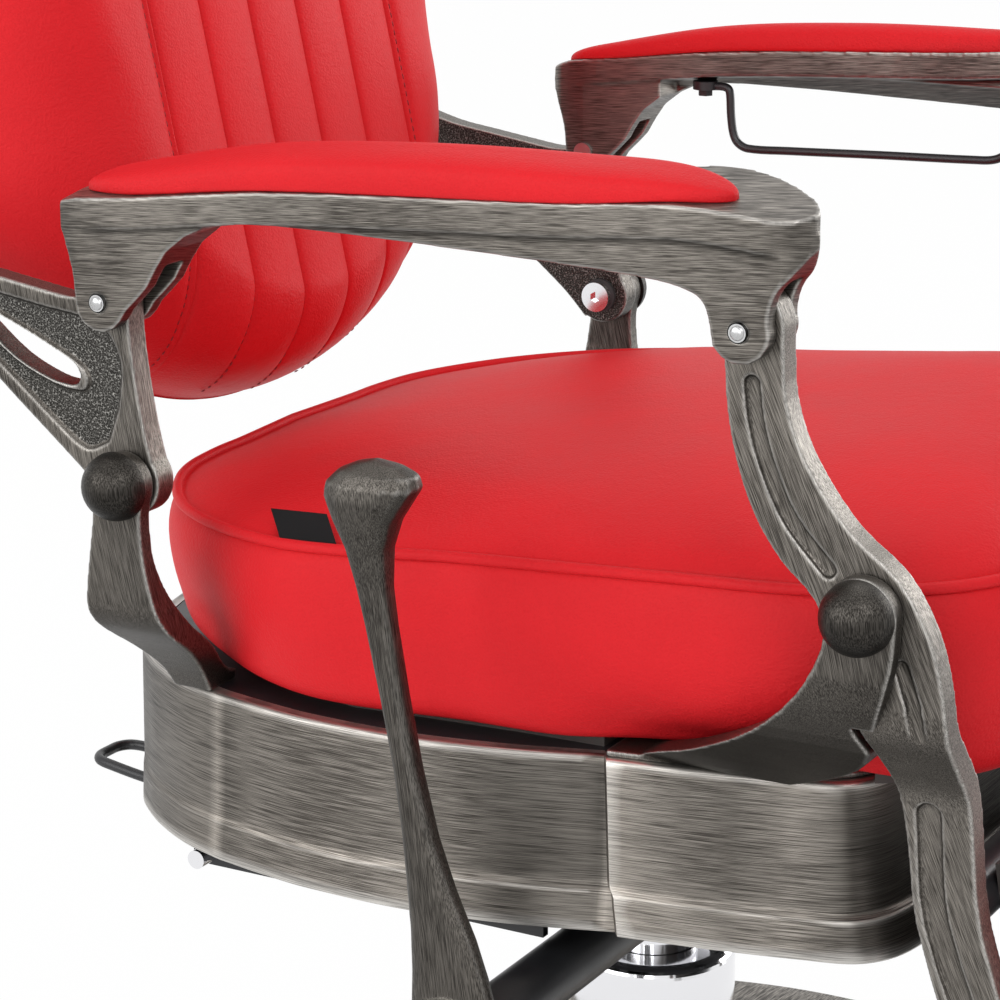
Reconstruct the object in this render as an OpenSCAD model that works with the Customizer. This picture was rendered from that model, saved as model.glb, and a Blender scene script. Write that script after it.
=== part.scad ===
// Hydraulic barber chair: a round base with a lift column, a swivelling seat frame,
// and a reclining back whose armrests and front levers raise the leg rest.
// Millimetres, +Z up. The origin is on the floor, on the axis of the column.
// The sitter looks along -Y, and the sitter's right hand side is -X.

/* [Stance] */
// Height of the rear hinge pins above the floor, with the lift down
pivot_z = 560; // [545:1:600]
// Distance of the rear hinge pins behind the column axis
pivot_y = 195; // [185:1:205]
// Travel of the hydraulic lift
lift_travel = 140; // [100:1:145]

/* [Linkage] */
// Fore and aft distance from the rear to the front hinge pins
pivot_span = 469; // [460:1:478]
// How far the front hinge pins sit below the rear ones
pivot_drop = 8; // [4:1:12]
// Rear arm pin behind the rear hinge pin
arm_rear_y = 10; // [6:1:14]
// Rear arm pin above the rear hinge pin
arm_rear_z = 108; // [100:1:116]
// Front arm pin behind the front hinge pin
arm_front_dy = 72; // [66:1:78]
// Front arm pin above the front hinge pin
arm_front_dz = 143; // [136:1:150]
// Distance between the middle planes of the left and right linkages
link_span = 602; // [590:1:640]
// Thickness of the back castings and the front levers
link_t = 17; // [14:1:20]
// Side gap between a casting and the ear or cheek beside it
link_gap = 1; // [0.5:0.1:1.5]
// Thickness of the ears of the four seat brackets
ear_t = 11.5; // [9:0.5:16]
// Radius of the four hinge bolts
hinge_r = 8; // [6:0.5:10]
// Radius of the arm pins
arm_pin_r = 5; // [4:0.5:6]
// Radial clearance of a turning pin in its hole
run_fit = 0.05; // [0.02:0.01:0.08]
// Radial clearance of the front lever on its arm pin
open_fit = 2.4; // [2.2:0.1:3]
// Radius of the round caps over the hinge bolts
cap_r = 20.7; // [16:0.1:24]

/* [Armrest] */
// Width of the armrest over the pins
arm_w = 42; // [38:1:50]
// Extra inward width of the paddle at the front of the armrest
paddle_w = 24; // [10:1:34]
// Thickness of the armrest under its pad
arm_beam = 28; // [22:1:34]
// Height of the top of the armrest above the line of its pins
arm_rise = 68; // [60:1:76]
// Height of the arm pad over the armrest
pad_h = 21; // [14:1:30]
// Width of the arm pad
pad_w = 45; // [36:1:52]
// Thickness of the black towel rail
rail_d = 6; // [5:0.5:8]

/* [Seat] */
// Distance of the seat cushion's sides inside the middle planes of the linkages
seat_side = 15; // [13:1:20]
// Front edge of the seat cushion, ahead of the front hinge pins
seat_over = 61; // [50:1:76]
// Rear corners of the seat cushion, behind the rear hinge pins
seat_rear = 80; // [70:1:82]
// How far the middle of its rear edge is hollowed to clear the reclining back
seat_hollow = 25; // [24:1:36]
// Underside of the cushion below the rear hinge pins
seat_low = 130; // [126:1:136]
// Welt of the cushion below the rear hinge pins, at the middle of its length
seat_welt = 27; // [22:1:32]
// Rise of the cushion towards the front, in percent
seat_rise = 5; // [3:0.5:6]
// Crown of the cushion above its welt, at the middle
seat_crown = 36; // [28:1:40]
// Thickness of the board under the cushion
board_t = 8; // [6:1:10]

/* [Seat frame] */
// Distance of the seat frame's sides inside the middle planes of the linkages
frame_side = 18; // [12:1:22]
// Front face of the seat frame, behind the front hinge pins
frame_back = 19; // [14:1:29]
// Rear face of the seat frame, behind the rear hinge pins
frame_rear = 112; // [104:1:118]
// Height of the seat frame
frame_h = 104.6; // [96:0.1:106]
// Height of its flared lower band
band_h = 28; // [20:1:36]
// Wall of the seat frame at its top edge
frame_wall = 9; // [7:0.5:11]
// Width of the inside ledge that carries the pan and takes the bolts of the brackets
ledge_w = 44; // [41:1:48]
// Thickness of the pan
pan_t = 8; // [6:1:10]
// Thickness of the side rails under the pan
rail_t = 6; // [4:1:8]
// Radius of the bolts that hold the brackets
bolt_r = 4; // [3:0.5:5]

/* [Backrest] */
// Lean of the backrest at rest, in degrees
back_tilt = 12.4; // [8:0.2:16]
// Width of the backrest
back_w = 504; // [490:1:520]
// Height of the backrest over its lowest point
back_h = 560; // [480:1:620]
// Thickness of the backrest cushion
back_t = 90; // [80:1:92]
// Width of the channelled middle panel
panel_w = 268; // [220:1:300]
// Number of upright channels
channels = 5; // [3:1:7]
// Depth of the grooves between the channels
channel_d = 5; // [2:0.5:7]
// Thickness of the rear shell
shell_t = 12; // [8:1:14]
// Radius of the cross tube behind the back
back_tube_r = 16; // [12:1:18]

/* [Headrest] */
// Width of the headrest
head_w = 250; // [200:1:300]
// Height of the headrest
head_h = 125; // [100:1:150]
// Thickness of the headrest
head_t = 72; // [60:1:90]
// Radius of the headrest post
post_r = 8; // [6:0.5:10]
// Travel of the headrest post
post_travel = 100; // [60:1:110]

/* [Leg rest] */
// Width between the lower legs, inside
leg_gap = 528; // [500:1:540]
// Height of the foot rest hinge above the floor
foot_z = 132; // [125:1:160]
// Foot rest hinge ahead of the front hinge pins
foot_y = 118; // [110:1:126]
// Depth of the foot rest
foot_d = 190; // [150:1:220]
// Thickness of the foot rest
foot_t = 12; // [8:1:16]
// Radius of the leg tubes
leg_tube_r = 16; // [12:1:18]
// Height of the calf cushion
calf_h = 160; // [120:1:170]
// Thickness of the calf cushion
calf_t = 44; // [30:1:50]

/* [Hand lever] */
// Middle plane of the hand lever, out from the middle of the chair
hand_x = 362; // [360:1:372]
// Thickness of the hand lever
hand_t = 18; // [14:1:20]
// Lever shaft ahead of the rear hinge pins
hand_y = 252; // [248:1:256]
// Lever shaft below the rear hinge pins
hand_drop = 282; // [280:1:284]
// Radius of the lever shaft
shaft_r = 12; // [10:0.5:13]
// Wall of the tube round the shaft
tube_wall = 6; // [4:0.5:6]

/* [Base and column] */
// Radius of the base
base_r = 345; // [300:1:380]
// Height of the rim of the base
base_rim = 16; // [12:1:24]
// Height of the base at the column
base_h = 44; // [36:1:56]
// Radius of the lift ram
ram_r = 30; // [26:0.5:32]
// Outer radius of the pump cylinder
pump_r = 45; // [40:1:46]
// Radius of the chrome cover over the pump cylinder
cover_r = 55; // [52:1:64]
// Height of the top of the chrome cover above the floor
cover_top = 195; // [185:1:198]
// Radius of the flange of the pump cylinder
flange_r = 100; // [80:1:120]
// Number of flange bolts
flange_bolts_n = 6; // [4:1:8]

/* [Hidden] */
$fn = 48;

// Colours
METAL = [0.36, 0.34, 0.32];
RED = [0.78, 0.05, 0.07];
BLACK = [0.05, 0.05, 0.055];
STEEL = [0.75, 0.75, 0.77];

// Pins of the linkage as [y, z] from the rear hinge pin
arm_rear = [arm_rear_y, arm_rear_z];
hinge_front = [-pivot_span, -pivot_drop];
arm_front = hinge_front + [arm_front_dy, arm_front_dz];
// Faces of the linkage, out from the middle of the chair
link_mid = link_span / 2;
link_out = link_mid + link_t / 2;
link_in = link_mid - link_t / 2;
ear_in = link_out + link_gap;
ear_out = ear_in + ear_t;
arm_out = ear_out + 0.5;
arm_in = arm_out - arm_w;
// Widths of the seat cushion and of the seat frame between the linkages
seat_w = link_span - 2 * seat_side;
frame_w = link_span - 2 * frame_side;
// Front of the seat cushion and of the seat frame, ahead of the rear hinge pins
seat_front = pivot_span + seat_over;
frame_front = pivot_span - frame_back;
// Seat frame levels, from the rear hinge pin
rim_z = -seat_low - board_t;
pan_low = rim_z - pan_t;
frame_low = rim_z - frame_h;
ledge_low = pan_low - 8;
ear_r = 20;
// Side rails under the pan, and the cross pin that carries the release loop
side_x = frame_w / 2 - 47;
side_low = -266;
cross_at = [-3, -257];
cross_r = 6;
// Row of the rear bolts of the front brackets, and the cross bar of the subframe behind it
bolt_row = 120 - frame_front;
bar_front = bolt_row + 40;
// Column levels, from the floor
hand_z = pivot_z - hand_drop;
shaft_y = pivot_y - hand_y;
head_low = 240;
head_top = 330;
collar_top = 214;
bearing_h = 8;
neck_low = collar_top + bearing_h;
tube_r = shaft_r + tube_wall;
rocker_l = 26;
piston_r = 7;
piston_y = shaft_y - rocker_l;
// Recline cylinder: rear and front pins as [y, z] from the floor
lock_x = 100;
lock_rear = [-20, 300];
lock_front = [pivot_y - pivot_span - 22, 258];
lock_vec = lock_front - lock_rear;
lock_len = norm(lock_vec);
lock_turn = atan2(lock_vec.y, -lock_vec.x);
lock_r = 19;
lock_pin_r = 6;
lock_eye_t = 18;
lock_rod_r = 8;
// Upper and lower leg tubes and the calf pad, as [y, z] from the floor
tube_up = [pivot_y - pivot_span - 36, pivot_z - 186];
tube_low = [pivot_y - pivot_span - 55, pivot_z - 300];
leg_lean = atan2(tube_up.x - tube_low.x, tube_up.y - tube_low.y);
foot_pin_at = [pivot_y - pivot_span - foot_y, foot_z];
// Backrest levels in its own leaning frame: u to the rear, v up along the back
back_u = 38;
edge_u = back_u + back_t - 6;
rear_u = back_u + back_t;
back_low = 3.4;
back_top = back_low + back_h;
back_round = 193;
back_corner = 70;
back_tube_at = [190, 118];
post_u = rear_u + shell_t + 18;
socket_top = back_top - 8;
socket_h = 62;
head_pivot_v = back_top + 48;

// A point between a and b
function lerp(a, b, t) = a + (b - a) * t;
// Slope at point i of a list, by the distances to its neighbours
function slope(p, i) =
    let (a = p[max(i - 1, 0)], b = p[i], c = p[min(i + 1, len(p) - 1)])
    (c - a) / max(norm(b - a) + norm(c - b), 0.001);
function curve_point(p, i, t) =
    let (d = norm(p[i + 1] - p[i]), m = slope(p, i) * d, n = slope(p, i + 1) * d)
    (2 * t ^ 3 - 3 * t ^ 2 + 1) * p[i] + (t ^ 3 - 2 * t ^ 2 + t) * m
    + (3 * t ^ 2 - 2 * t ^ 3) * p[i + 1] + (t ^ 3 - t ^ 2) * n;
// A smooth curve through the points of p, with n steps from each point to the next
function curve(p, n = 4) = concat(
    [for (i = [0:len(p) - 2]) for (j = [0:n - 1]) curve_point(p, i, j / n)],
    [p[len(p) - 1]]);
function arc(r, a, b, n, c = [0, 0]) =
    [for (i = [0:n]) let (w = lerp(a, b, i / n)) c + r * [cos(w), sin(w)]];
// A strip of half width w along a line of points
function strip(p, w) =
    let (k = len(p) - 1,
        side = [for (i = [0:k]) let (d = p[min(i + 1, k)] - p[max(i - 1, 0)])
            w * [-d.y, d.x] / norm(d)])
    concat([for (i = [0:k]) p[i] + side[i]], [for (i = [k:-1:0]) p[i] - side[i]]);

// Extrudes a side view, drawn as [y, z], from x = a to x = b
module side_view(a, b) {
    translate([a, 0, 0]) rotate([90, 0, 90]) linear_extrude(b - a) children();
}
// Extrudes a front view, drawn as [x, z], from y = a to y = b
module front_view(a, b) {
    translate([0, b, 0]) rotate([90, 0, 0]) linear_extrude(b - a) children();
}
// A cylinder along X from x = a to x = b round the point [y, z]
module x_pin(at, a, b, r) {
    translate([a, at.x, at.y]) rotate([0, 90, 0]) cylinder(h = b - a, r = r);
}
// A round bar from a to b
module bar(a, b, r) {
    v = b - a;
    translate(a) rotate([0, acos(v.z / norm(v)), atan2(v.y, v.x)]) cylinder(h = norm(v), r = r);
}
// A bent rod through the points of path
module rod(path, r) {
    for (i = [0:len(path) - 2]) bar(path[i], path[i + 1], r);
    for (i = [1:len(path) - 2]) translate(path[i]) sphere(r = r + 0.25, $fn = 24);
}
// Moves the seat's own frame, whose origin is the rear hinge axis, to its place
module upper() { translate([0, pivot_y, pivot_z]) children(); }
// Left hand pieces are the right hand ones mirrored
module left() { mirror([1, 0, 0]) children(); }
// The backrest's own leaning frame
module leaning() { upper() rotate([-back_tilt, 0, 0]) children(); }

// A cushion from rings of equal length, closed by a fan at each end
module rings_solid(rings, low, high) {
    n = len(rings[0]);
    k = len(rings);
    points = concat([low], [for (r = rings) each r], [high]);
    function at(i, j) = 1 + i * n + j % n;
    bottom = [for (j = [0:n - 1]) [0, at(0, j), at(0, j + 1)]];
    sides = [for (i = [0:k - 2]) for (j = [0:n - 1])
        each [[at(i, j), at(i + 1, j), at(i, j + 1)],
            [at(i, j + 1), at(i + 1, j), at(i + 1, j + 1)]]];
    top = [for (j = [0:n - 1]) [n * k + 1, at(k - 1, j + 1), at(k - 1, j)]];
    polyhedron(points, concat(bottom, sides, top));
}

// ---- Base and column ----

module base_plate() {
    color(METAL) rotate_extrude($fn = 120) difference() {
        polygon(concat([[flange_r - 10, 6], [base_r - 4, 6], [base_r, 9]],
            curve([[base_r, base_rim - 4], [base_r - 5, base_rim], [base_r - 60, base_rim + 5],
                [base_r - 150, base_h - 10], [flange_r + 12, base_h]], 6),
            [[flange_r - 10, base_h]]));
        polygon([[flange_r + 4, 6], [base_r - 16, 6], [base_r - 20, base_rim - 6],
            [base_r - 150, base_h - 20], [flange_r + 4, base_h - 10]]);
    }
}

module floor_plate() {
    color(BLACK) cylinder(h = 6, r = base_r - 16, $fn = 120);
}

module floor_ring() {
    color(BLACK) difference() {
        cylinder(h = 6, r = base_r - 4, $fn = 120);
        translate([0, 0, -1]) cylinder(h = 8, r = base_r - 16, $fn = 120);
    }
}

module pump_cylinder() {
    color(METAL) difference() {
        union() {
            translate([0, 0, 6]) cylinder(h = 10, r = flange_r - 10);
            translate([0, 0, 6]) cylinder(h = cover_top - 18, r = pump_r);
            translate([0, 0, base_h]) cylinder(h = 8, r = flange_r);
        }
        translate([0, 0, 12]) cylinder(h = cover_top, r = ram_r + run_fit, $fn = 96);
        for (i = [0:flange_bolts_n - 1]) rotate(i * 360 / flange_bolts_n)
            translate([flange_r - 18, 0, 20]) cylinder(h = 50, r = 5);
    }
}

module flange_bolts() {
    color(STEEL) for (i = [0:flange_bolts_n - 1]) rotate(i * 360 / flange_bolts_n)
        translate([flange_r - 18, 0, 0]) {
            translate([0, 0, 30]) cylinder(h = base_h - 21, r = 4.9);
            translate([0, 0, base_h + 8]) cylinder(h = 7, r = 9, $fn = 6);
        }
}

module pump_cover() {
    low = base_h + 8;
    color(STEEL) rotate_extrude($fn = 96) polygon(concat(
        [[cover_r - 3, low], [cover_r, low]],
        arc(8, 0, 90, 6, [cover_r - 8, cover_top - 8]),
        [[ram_r + 1, cover_top], [ram_r + 1, cover_top - 3], [cover_r - 8, cover_top - 3],
            [cover_r - 3, cover_top - 8]]));
}

module ram_seal() {
    color(BLACK) translate([0, 0, cover_top - 12]) difference() {
        cylinder(h = 7, r = ram_r + 7);
        translate([0, 0, -1]) cylinder(h = 9, r = ram_r + run_fit, $fn = 96);
    }
}

module ram() {
    color(STEEL) {
        translate([0, 0, 14]) cylinder(h = 286, r = ram_r, $fn = 96);
        translate([0, 0, collar_top - 8]) cylinder(h = 8, r = ram_r + 8, $fn = 96);
    }
}

module swivel_bearing() {
    color(STEEL) translate([0, 0, collar_top]) difference() {
        cylinder(h = bearing_h - 0.3, r = ram_r + 8, $fn = 96);
        translate([0, 0, -1]) cylinder(h = bearing_h + 2, r = ram_r + 0.02, $fn = 96);
    }
}

// ---- Pump head, shaft and hand lever ----

module pump_head() {
    front = piston_y - 27;
    rear = 62;
    round_r = 14;
    color(BLACK) difference() {
        union() {
            translate([0, 0, head_low]) linear_extrude(head_top - head_low)
                polygon(concat(arc(round_r, 0, 90, 6, [70 - round_r, rear - round_r]),
                    arc(round_r, 90, 180, 6, [round_r - 70, rear - round_r]),
                    arc(round_r, 180, 270, 6, [round_r - 70, front + round_r]),
                    arc(round_r, 270, 360, 6, [70 - round_r, front + round_r])));
            translate([0, 0, neck_low]) cylinder(h = 30, r = ram_r + 12);
            translate([0, piston_y, collar_top]) cylinder(h = 40, r = piston_r + 7);
        }
        translate([0, 0, neck_low - 1]) cylinder(h = 81, r = ram_r + run_fit, $fn = 96);
        translate([-34, piston_y - 17, 258]) cube([68, -36 - piston_y + 17, 64]);
        translate([0, piston_y, collar_top + 8]) cylinder(h = 60, r = piston_r + run_fit);
        x_pin([shaft_y, hand_z], -80, -33, tube_r);
        x_pin([shaft_y, hand_z], 30, 58, shaft_r + run_fit);
    }
}

module lever_tube() {
    color(BLACK) difference() {
        x_pin([shaft_y, hand_z], -hand_x + hand_t / 2 + 4, -34, tube_r);
        x_pin([shaft_y, hand_z], -hand_x, -30, shaft_r + run_fit);
    }
}

module lever_shaft() {
    color(STEEL) x_pin([shaft_y, hand_z], -hand_x - hand_t / 2, 56, shaft_r);
}

module pump_rocker() {
    color(STEEL) difference() {
        union() {
            x_pin([shaft_y, hand_z], -8, 8, shaft_r + 4);
            x_pin([piston_y, hand_z], -8, 8, 6);
            side_view(-8, 8) polygon([[shaft_y, hand_z - 8], [shaft_y, hand_z + 10],
                [piston_y, hand_z + 6], [piston_y, hand_z - 4]]);
        }
        x_pin([shaft_y, hand_z], -9, 9, shaft_r + 0.02);
    }
}

module pump_piston() {
    color(STEEL) translate([0, piston_y, hand_z - 38]) {
        cylinder(h = 25, r = piston_r);
        cylinder(h = 31.6, r = piston_r - 3.5);
    }
}

// Front and rear edges and half thickness of the hand lever by height over its shaft
hand_f = [[20, -26], [44, -19], [64, -11.6], [88, 0], [122, 13], [160, 23], [200, 31],
    [234, 37], [262, 41], [284, 41], [300, 36], [312, 28], [320, 22.5], [327, 24], [332, 33],
    [334, 46]];
hand_b = [[20, 29], [54, 28], [80, 30], [110, 32], [150, 36.4], [184, 43], [224, 52],
    [262, 61], [284, 67], [300, 75], [312, 80], [320, 79], [327, 72], [332, 61], [334, 52]];
hand_half = [[20, 9], [234, 8], [262, 9.5], [280, 12], [294, 15], [308, 17], [318, 17],
    [326, 13], [331, 8], [334, 3]];
function hand_ring(z) =
    let (f = lookup(z, hand_f), b = lookup(z, hand_b), h = lookup(z, hand_half) * hand_t / 18)
    [for (i = [0:15]) let (a = i * 22.5, c = cos(a), s = sin(a))
        [h * sign(c) * abs(c) ^ 0.75, (f + b) / 2 + (b - f) / 2 * sign(s) * abs(s) ^ 0.75, z]];

module hand_lever() {
    levels = [20, 42, 64, 92, 122, 160, 200, 240, 262, 284, 300, 312, 320, 327, 332, 334];
    color(METAL) translate([-hand_x, shaft_y, hand_z]) difference() {
        union() {
            rings_solid([for (z = levels) hand_ring(z)], [0, 1, 20], [0, 49, 335]);
            x_pin([0, 0], -hand_t / 2 - 3, hand_t / 2 + 2, 30);
        }
        x_pin([0, 0], -40, 40, shaft_r + 0.02);
    }
}

module lever_nut() {
    face = -hand_x - hand_t / 2 - 3;
    color(STEEL) difference() {
        union() {
            x_pin([shaft_y, hand_z], face - 3, face, shaft_r + 8);
            translate([face - 3, shaft_y, hand_z]) scale(1) intersection() {
                sphere(r = shaft_r + 2);
                translate([-30, -30, -30]) cube([30, 60, 60]);
            }
        }
        x_pin([shaft_y, hand_z], face - 6, face + 1, shaft_r - 6);
    }
}

// ---- Seat frame ----

// Half outline of the seat frame as shares of its half width and its length,
// in three panels that meet at two upright creases
function frame_half(n) =
    let (w = frame_w / 2, r = frame_rear, f = -frame_front)
    concat(
        curve([[0, r], [w * 0.32, r - 4], [w * 0.57, r - 20], [w * 0.735, r - 45],
            [w * 0.813, r - 66], [w * 0.873, r - 89], [w * 0.922, r - 114],
            [w * 0.956, r - 141]], n),
        curve([[w * 0.96, r - 145], [w * 0.978, r - 170], [w, r - 211], [w, r - 280],
            [w * 0.961, r - 341], [w * 0.896, r - 399]], n),
        curve([[w * 0.914, r - 403], [w * 0.883, r - 454], [w * 0.841, f + 57],
            [w * 0.809, f + 28], [w * 0.749, f + 13], [w * 0.654, f + 6], [w * 0.477, f + 3],
            [0, f]], n));
frame_mid = (frame_rear - frame_front) / 2;
function frame_outline(n) =
    let (half = [for (p = frame_half(n)) [p.x, p.y - frame_mid]])
    concat(half, [for (i = [len(half) - 2:-1:1]) [-half[i].x, half[i].y]]);
function inset_share(d) = 1 - 2 * d / frame_w;

// A slice of the seat frame, flared from its rear face by the share grow below and to above
module frame_slice(z, h, grow, to, n = 2) {
    translate([0, frame_rear, z]) linear_extrude(h, scale = to / grow)
        scale(grow) translate([0, frame_mid - frame_rear]) polygon(frame_outline(n));
}

module bracket_holes() {
    for (p = bolt_places) translate([p.x, p.y, ledge_low - 1]) cylinder(h = 40, r = bolt_r + 0.02);
}
bolt_places = [for (s = [-1, 1]) each [[s * (frame_w / 2 - 36), -14],
    [s * (frame_w / 2 - 52), bolt_row], [s * (frame_w / 2 - 68), bolt_row - 58]]];

module seat_frame() {
    band_z = frame_low + band_h;
    top_h = frame_h - band_h;
    color(METAL) upper() difference() {
        union() {
            frame_slice(band_z, top_h, 1.01, 1);
            frame_slice(band_z - 5, 5.1, 1.02, 1.011);
            frame_slice(frame_low, band_h - 5, 1.03, 1.019);
        }
        translate([0, frame_mid, frame_low - 1]) linear_extrude(frame_h + 2)
            scale(inset_share(ledge_w)) polygon(frame_outline(2));
        translate([0, frame_mid, pan_low]) linear_extrude(pan_t + 1)
            scale(inset_share(frame_wall)) polygon(frame_outline(2));
        translate([0, frame_mid, frame_low - 1]) linear_extrude(ledge_low - frame_low + 1)
            scale(inset_share(frame_wall)) polygon(frame_outline(2));
        bracket_holes();
    }
}

module seat_pan() {
    color(BLACK) upper() difference() {
        translate([0, frame_mid, pan_low]) linear_extrude(pan_t)
            scale(inset_share(frame_wall + 0.5)) polygon(frame_outline(2));
        bracket_holes();
    }
}

module subframe() {
    bar_z = head_top - pivot_z + 10;
    color(BLACK) {
        upper() difference() {
            union() {
                for (s = [-1, 1]) translate([s * side_x - rail_t / 2, -240, side_low])
                    cube([rail_t, 250, ledge_low - side_low]);
                for (y = [bar_front, -160]) translate([-side_x, y, bar_z])
                    cube([2 * side_x, 40, ledge_low - bar_z]);
                for (y = [bar_front, -160]) translate([-180, y, ledge_low]) cube([360, 40, 8]);
                for (s = [-1, 1]) translate([s * side_x - rail_t / 2, bar_front, bar_z])
                    cube([rail_t, max(-230 - bar_front, 20), ledge_low - bar_z]);
            }
            x_pin(cross_at, -300, 300, cross_r + 0.02);
        }
        translate([-125, -120, head_top]) cube([250, 200, 10.01]);
        for (x = [-1, 1]) lock_lug(lock_rear, x, [0, head_top - lock_rear.y + 1]);
    }
}

// One of the two lugs that hold a pin of the recline cylinder
module lock_lug(at, s, reach) {
    inner = lock_x + s * (lock_eye_t / 2 + 1);
    a = min(inner, inner + s * 6);
    difference() {
        union() {
            x_pin(at, a, a + 6, lock_pin_r + 7);
            side_view(a, a + 6) polygon([at + [-13, 0], at + [13, 0], at + reach + [13, 0],
                at + reach + [-13, 0]]);
        }
        x_pin(at, a - 1, a + 7, lock_pin_r + 0.02);
    }
}

module cross_pin() {
    reach = frame_w / 2 - 27;
    color(STEEL) {
        upper() x_pin(cross_at, -reach, reach, cross_r);
        x_pin(lock_rear, lock_x - lock_eye_t / 2 - 9, lock_x + lock_eye_t / 2 + 9, lock_pin_r);
    }
}

module release_loop() {
    r = 3.5;
    a = -172;
    b = -132;
    y = cross_at.x;
    z = cross_at.y;
    end = 138;
    color(BLACK) upper() {
        rod([[a, y + cross_r + 1, z], [a, end - 40, z + 10], [a, end - 9, z + 14],
            [a + 9, end, z + 14], [b - 9, end, z + 14], [b, end - 9, z + 14],
            [b, end - 40, z + 10], [b, y + cross_r + 1, z]], r);
        difference() {
            x_pin(cross_at, a - 5, b + 5, cross_r + 4);
            x_pin(cross_at, a - 6, b + 6, cross_r + run_fit);
        }
    }
}

// Half outline of the seat cushion, from the rear to the front
function seat_half(n) =
    let (w = seat_w / 2, r = seat_rear, f = -seat_front, h = seat_hollow)
    curve([[0, r - h], [w * 0.12, r - h * 0.95], [w * 0.23, r - h * 0.78], [w * 0.33, r - h * 0.48],
        [w * 0.43, r - h * 0.18], [w * 0.53, r - 7], [w * 0.64, r - 20], [w * 0.75, r - 44],
        [w * 0.84, r - 74], [w * 0.91, r - 106], [w * 0.965, r - 137], [w, r - 185],
        [w * 0.98, r - 240], [w * 0.96, r - 310], [w * 0.95, r - 380], [w * 0.945, f + 142],
        [w * 0.93, f + 110], [w * 0.885, f + 68], [w * 0.81, f + 36], [w * 0.68, f + 14],
        [w * 0.46, f + 3], [w * 0.22, f], [0, f]], n);
seat_mid = (seat_rear - seat_front) / 2;
// Height of the welt and of the crown over it along the seat
function welt_z(y) = -seat_welt - seat_rise / 100 * (y + 200);
function crown_z(y) = seat_crown * (1 - 0.72 * (y + 230) / 300);
// One ring of the cushion: t goes from the underside (0) to the welt (1), h from the
// welt to the crown; d is drawn in, q and g are the pinches beside the rear and front brackets
function seat_ring(t, h, d, q, g = 0) =
    let (half = seat_half(1), all = concat([for (p = half) [-p.x, p.y]],
        [for (i = [len(half) - 2:-1:1]) half[i]]),
        sx = 1 - 2 * d / seat_w, sy = 1 - 2 * d / (seat_rear + seat_front))
    [for (p = all) let (pinch = q * exp(-((p.y + 5) / 44) ^ 2) + g * exp(-((p.y + pivot_span - 93) / 92) ^ 4),
        y = seat_mid + sy * (p.y - seat_mid))
        [sx * p.x - sign(p.x) * pinch, y, lerp(-seat_low, welt_z(y), t) + h * crown_z(y)]];

module seat_cushion() {
    // each level is [share of the side, share of the crown, drawn in, rear and front pinch]
    levels = [[0, 0, 17, 4, 29], [0.09, 0, 6, 10, 32], [0.25, 0, 1, 14, 11], [0.5, 0, -4, 8, 0],
        [0.78, 0, -4, 1, 0], [0.93, 0, 0, 0, 0], [1, 0, 3, 0, 0], [1, 0.22, 13, 0, 0],
        [1, 0.52, 38, 0, 0], [1, 0.78, 80, 0, 0], [1, 0.93, 135, 0, 0], [1, 0.99, 200, 0, 0]];
    color(RED) upper() rings_solid([for (l = levels) seat_ring(l[0], l[1], l[2], l[3], l[4])],
        [0, seat_mid, -seat_low], [0, seat_mid, welt_z(seat_mid) + crown_z(seat_mid)]);
}

// The board is cut back round the feet of the four brackets
module cushion_board() {
    color(BLACK) upper() difference() {
        translate([0, 0, rim_z]) linear_extrude(board_t)
            polygon([for (p = seat_ring(0, 0, 34, 4)) [p.x, p.y]]);
        for (s = [-1, 1]) {
            translate([s * (frame_w / 2 - 45) - 50, -frame_front + 10, rim_z - 1])
                cube([100, 160, board_t + 2]);
            translate([s * (frame_w / 2) - 52, -50, rim_z - 1]) cube([104, 90, board_t + 2]);
        }
    }
}

module label_tag() {
    color(BLACK) upper() translate([-seat_w / 2 * 0.985, -88, welt_z(-128) + 2.8])
        rotate([0, -29, 0]) linear_extrude(1.2) polygon([[0, 0], [0, -39.4], [21, -22], [21, 17.4]]);
}

// ---- Brackets of the linkage ----

module rear_bracket() {
    color(METAL) difference() {
        intersection() {
            union() {
                side_view(-ear_out, -200) polygon(concat(
                    curve([[ear_r - 1, 0], [18.5, -18], [22, -44], [25, -68], [25, -84], [20, -97],
                        [10, -110], [2, -124], [0, rim_z]], 3),
                    curve([[-27, rim_z], [-29, -122], [-31, -106], [-29, -88], [-22, -66],
                        [-17, -43], [-15.5, -18], [1 - ear_r, 0]], 3)));
                x_pin([0, 0], -ear_out, -ear_in, ear_r - 1);
            }
            front_view(-100, 60) polygon(concat([[-ear_out, 40]],
                curve([[-ear_out, -62], [-ear_out + 1, -78], [-ear_out + 6, -88],
                    [-ear_out + 13, -95], [-ear_out + 27, -107], [-ear_out + 42, -123],
                    [-ear_out + 52, rim_z]], 3),
                [[-ear_out + 80, rim_z], [-ear_out + 80, rim_z + 7]],
                curve([[-ear_out + 73, rim_z + 8], [-ear_out + 62, -120], [-ear_out + 50, -106],
                    [-ear_out + 31, -89], [-ear_out + 18.5, -69], [-ear_in + 1, -50],
                    [-ear_in, -42]], 3),
                [[-ear_in, 40]]));
        }
        x_pin([0, 0], -ear_out - 1, -ear_in + 1, hinge_r + 0.02);
        bracket_holes();
    }
}

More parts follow.
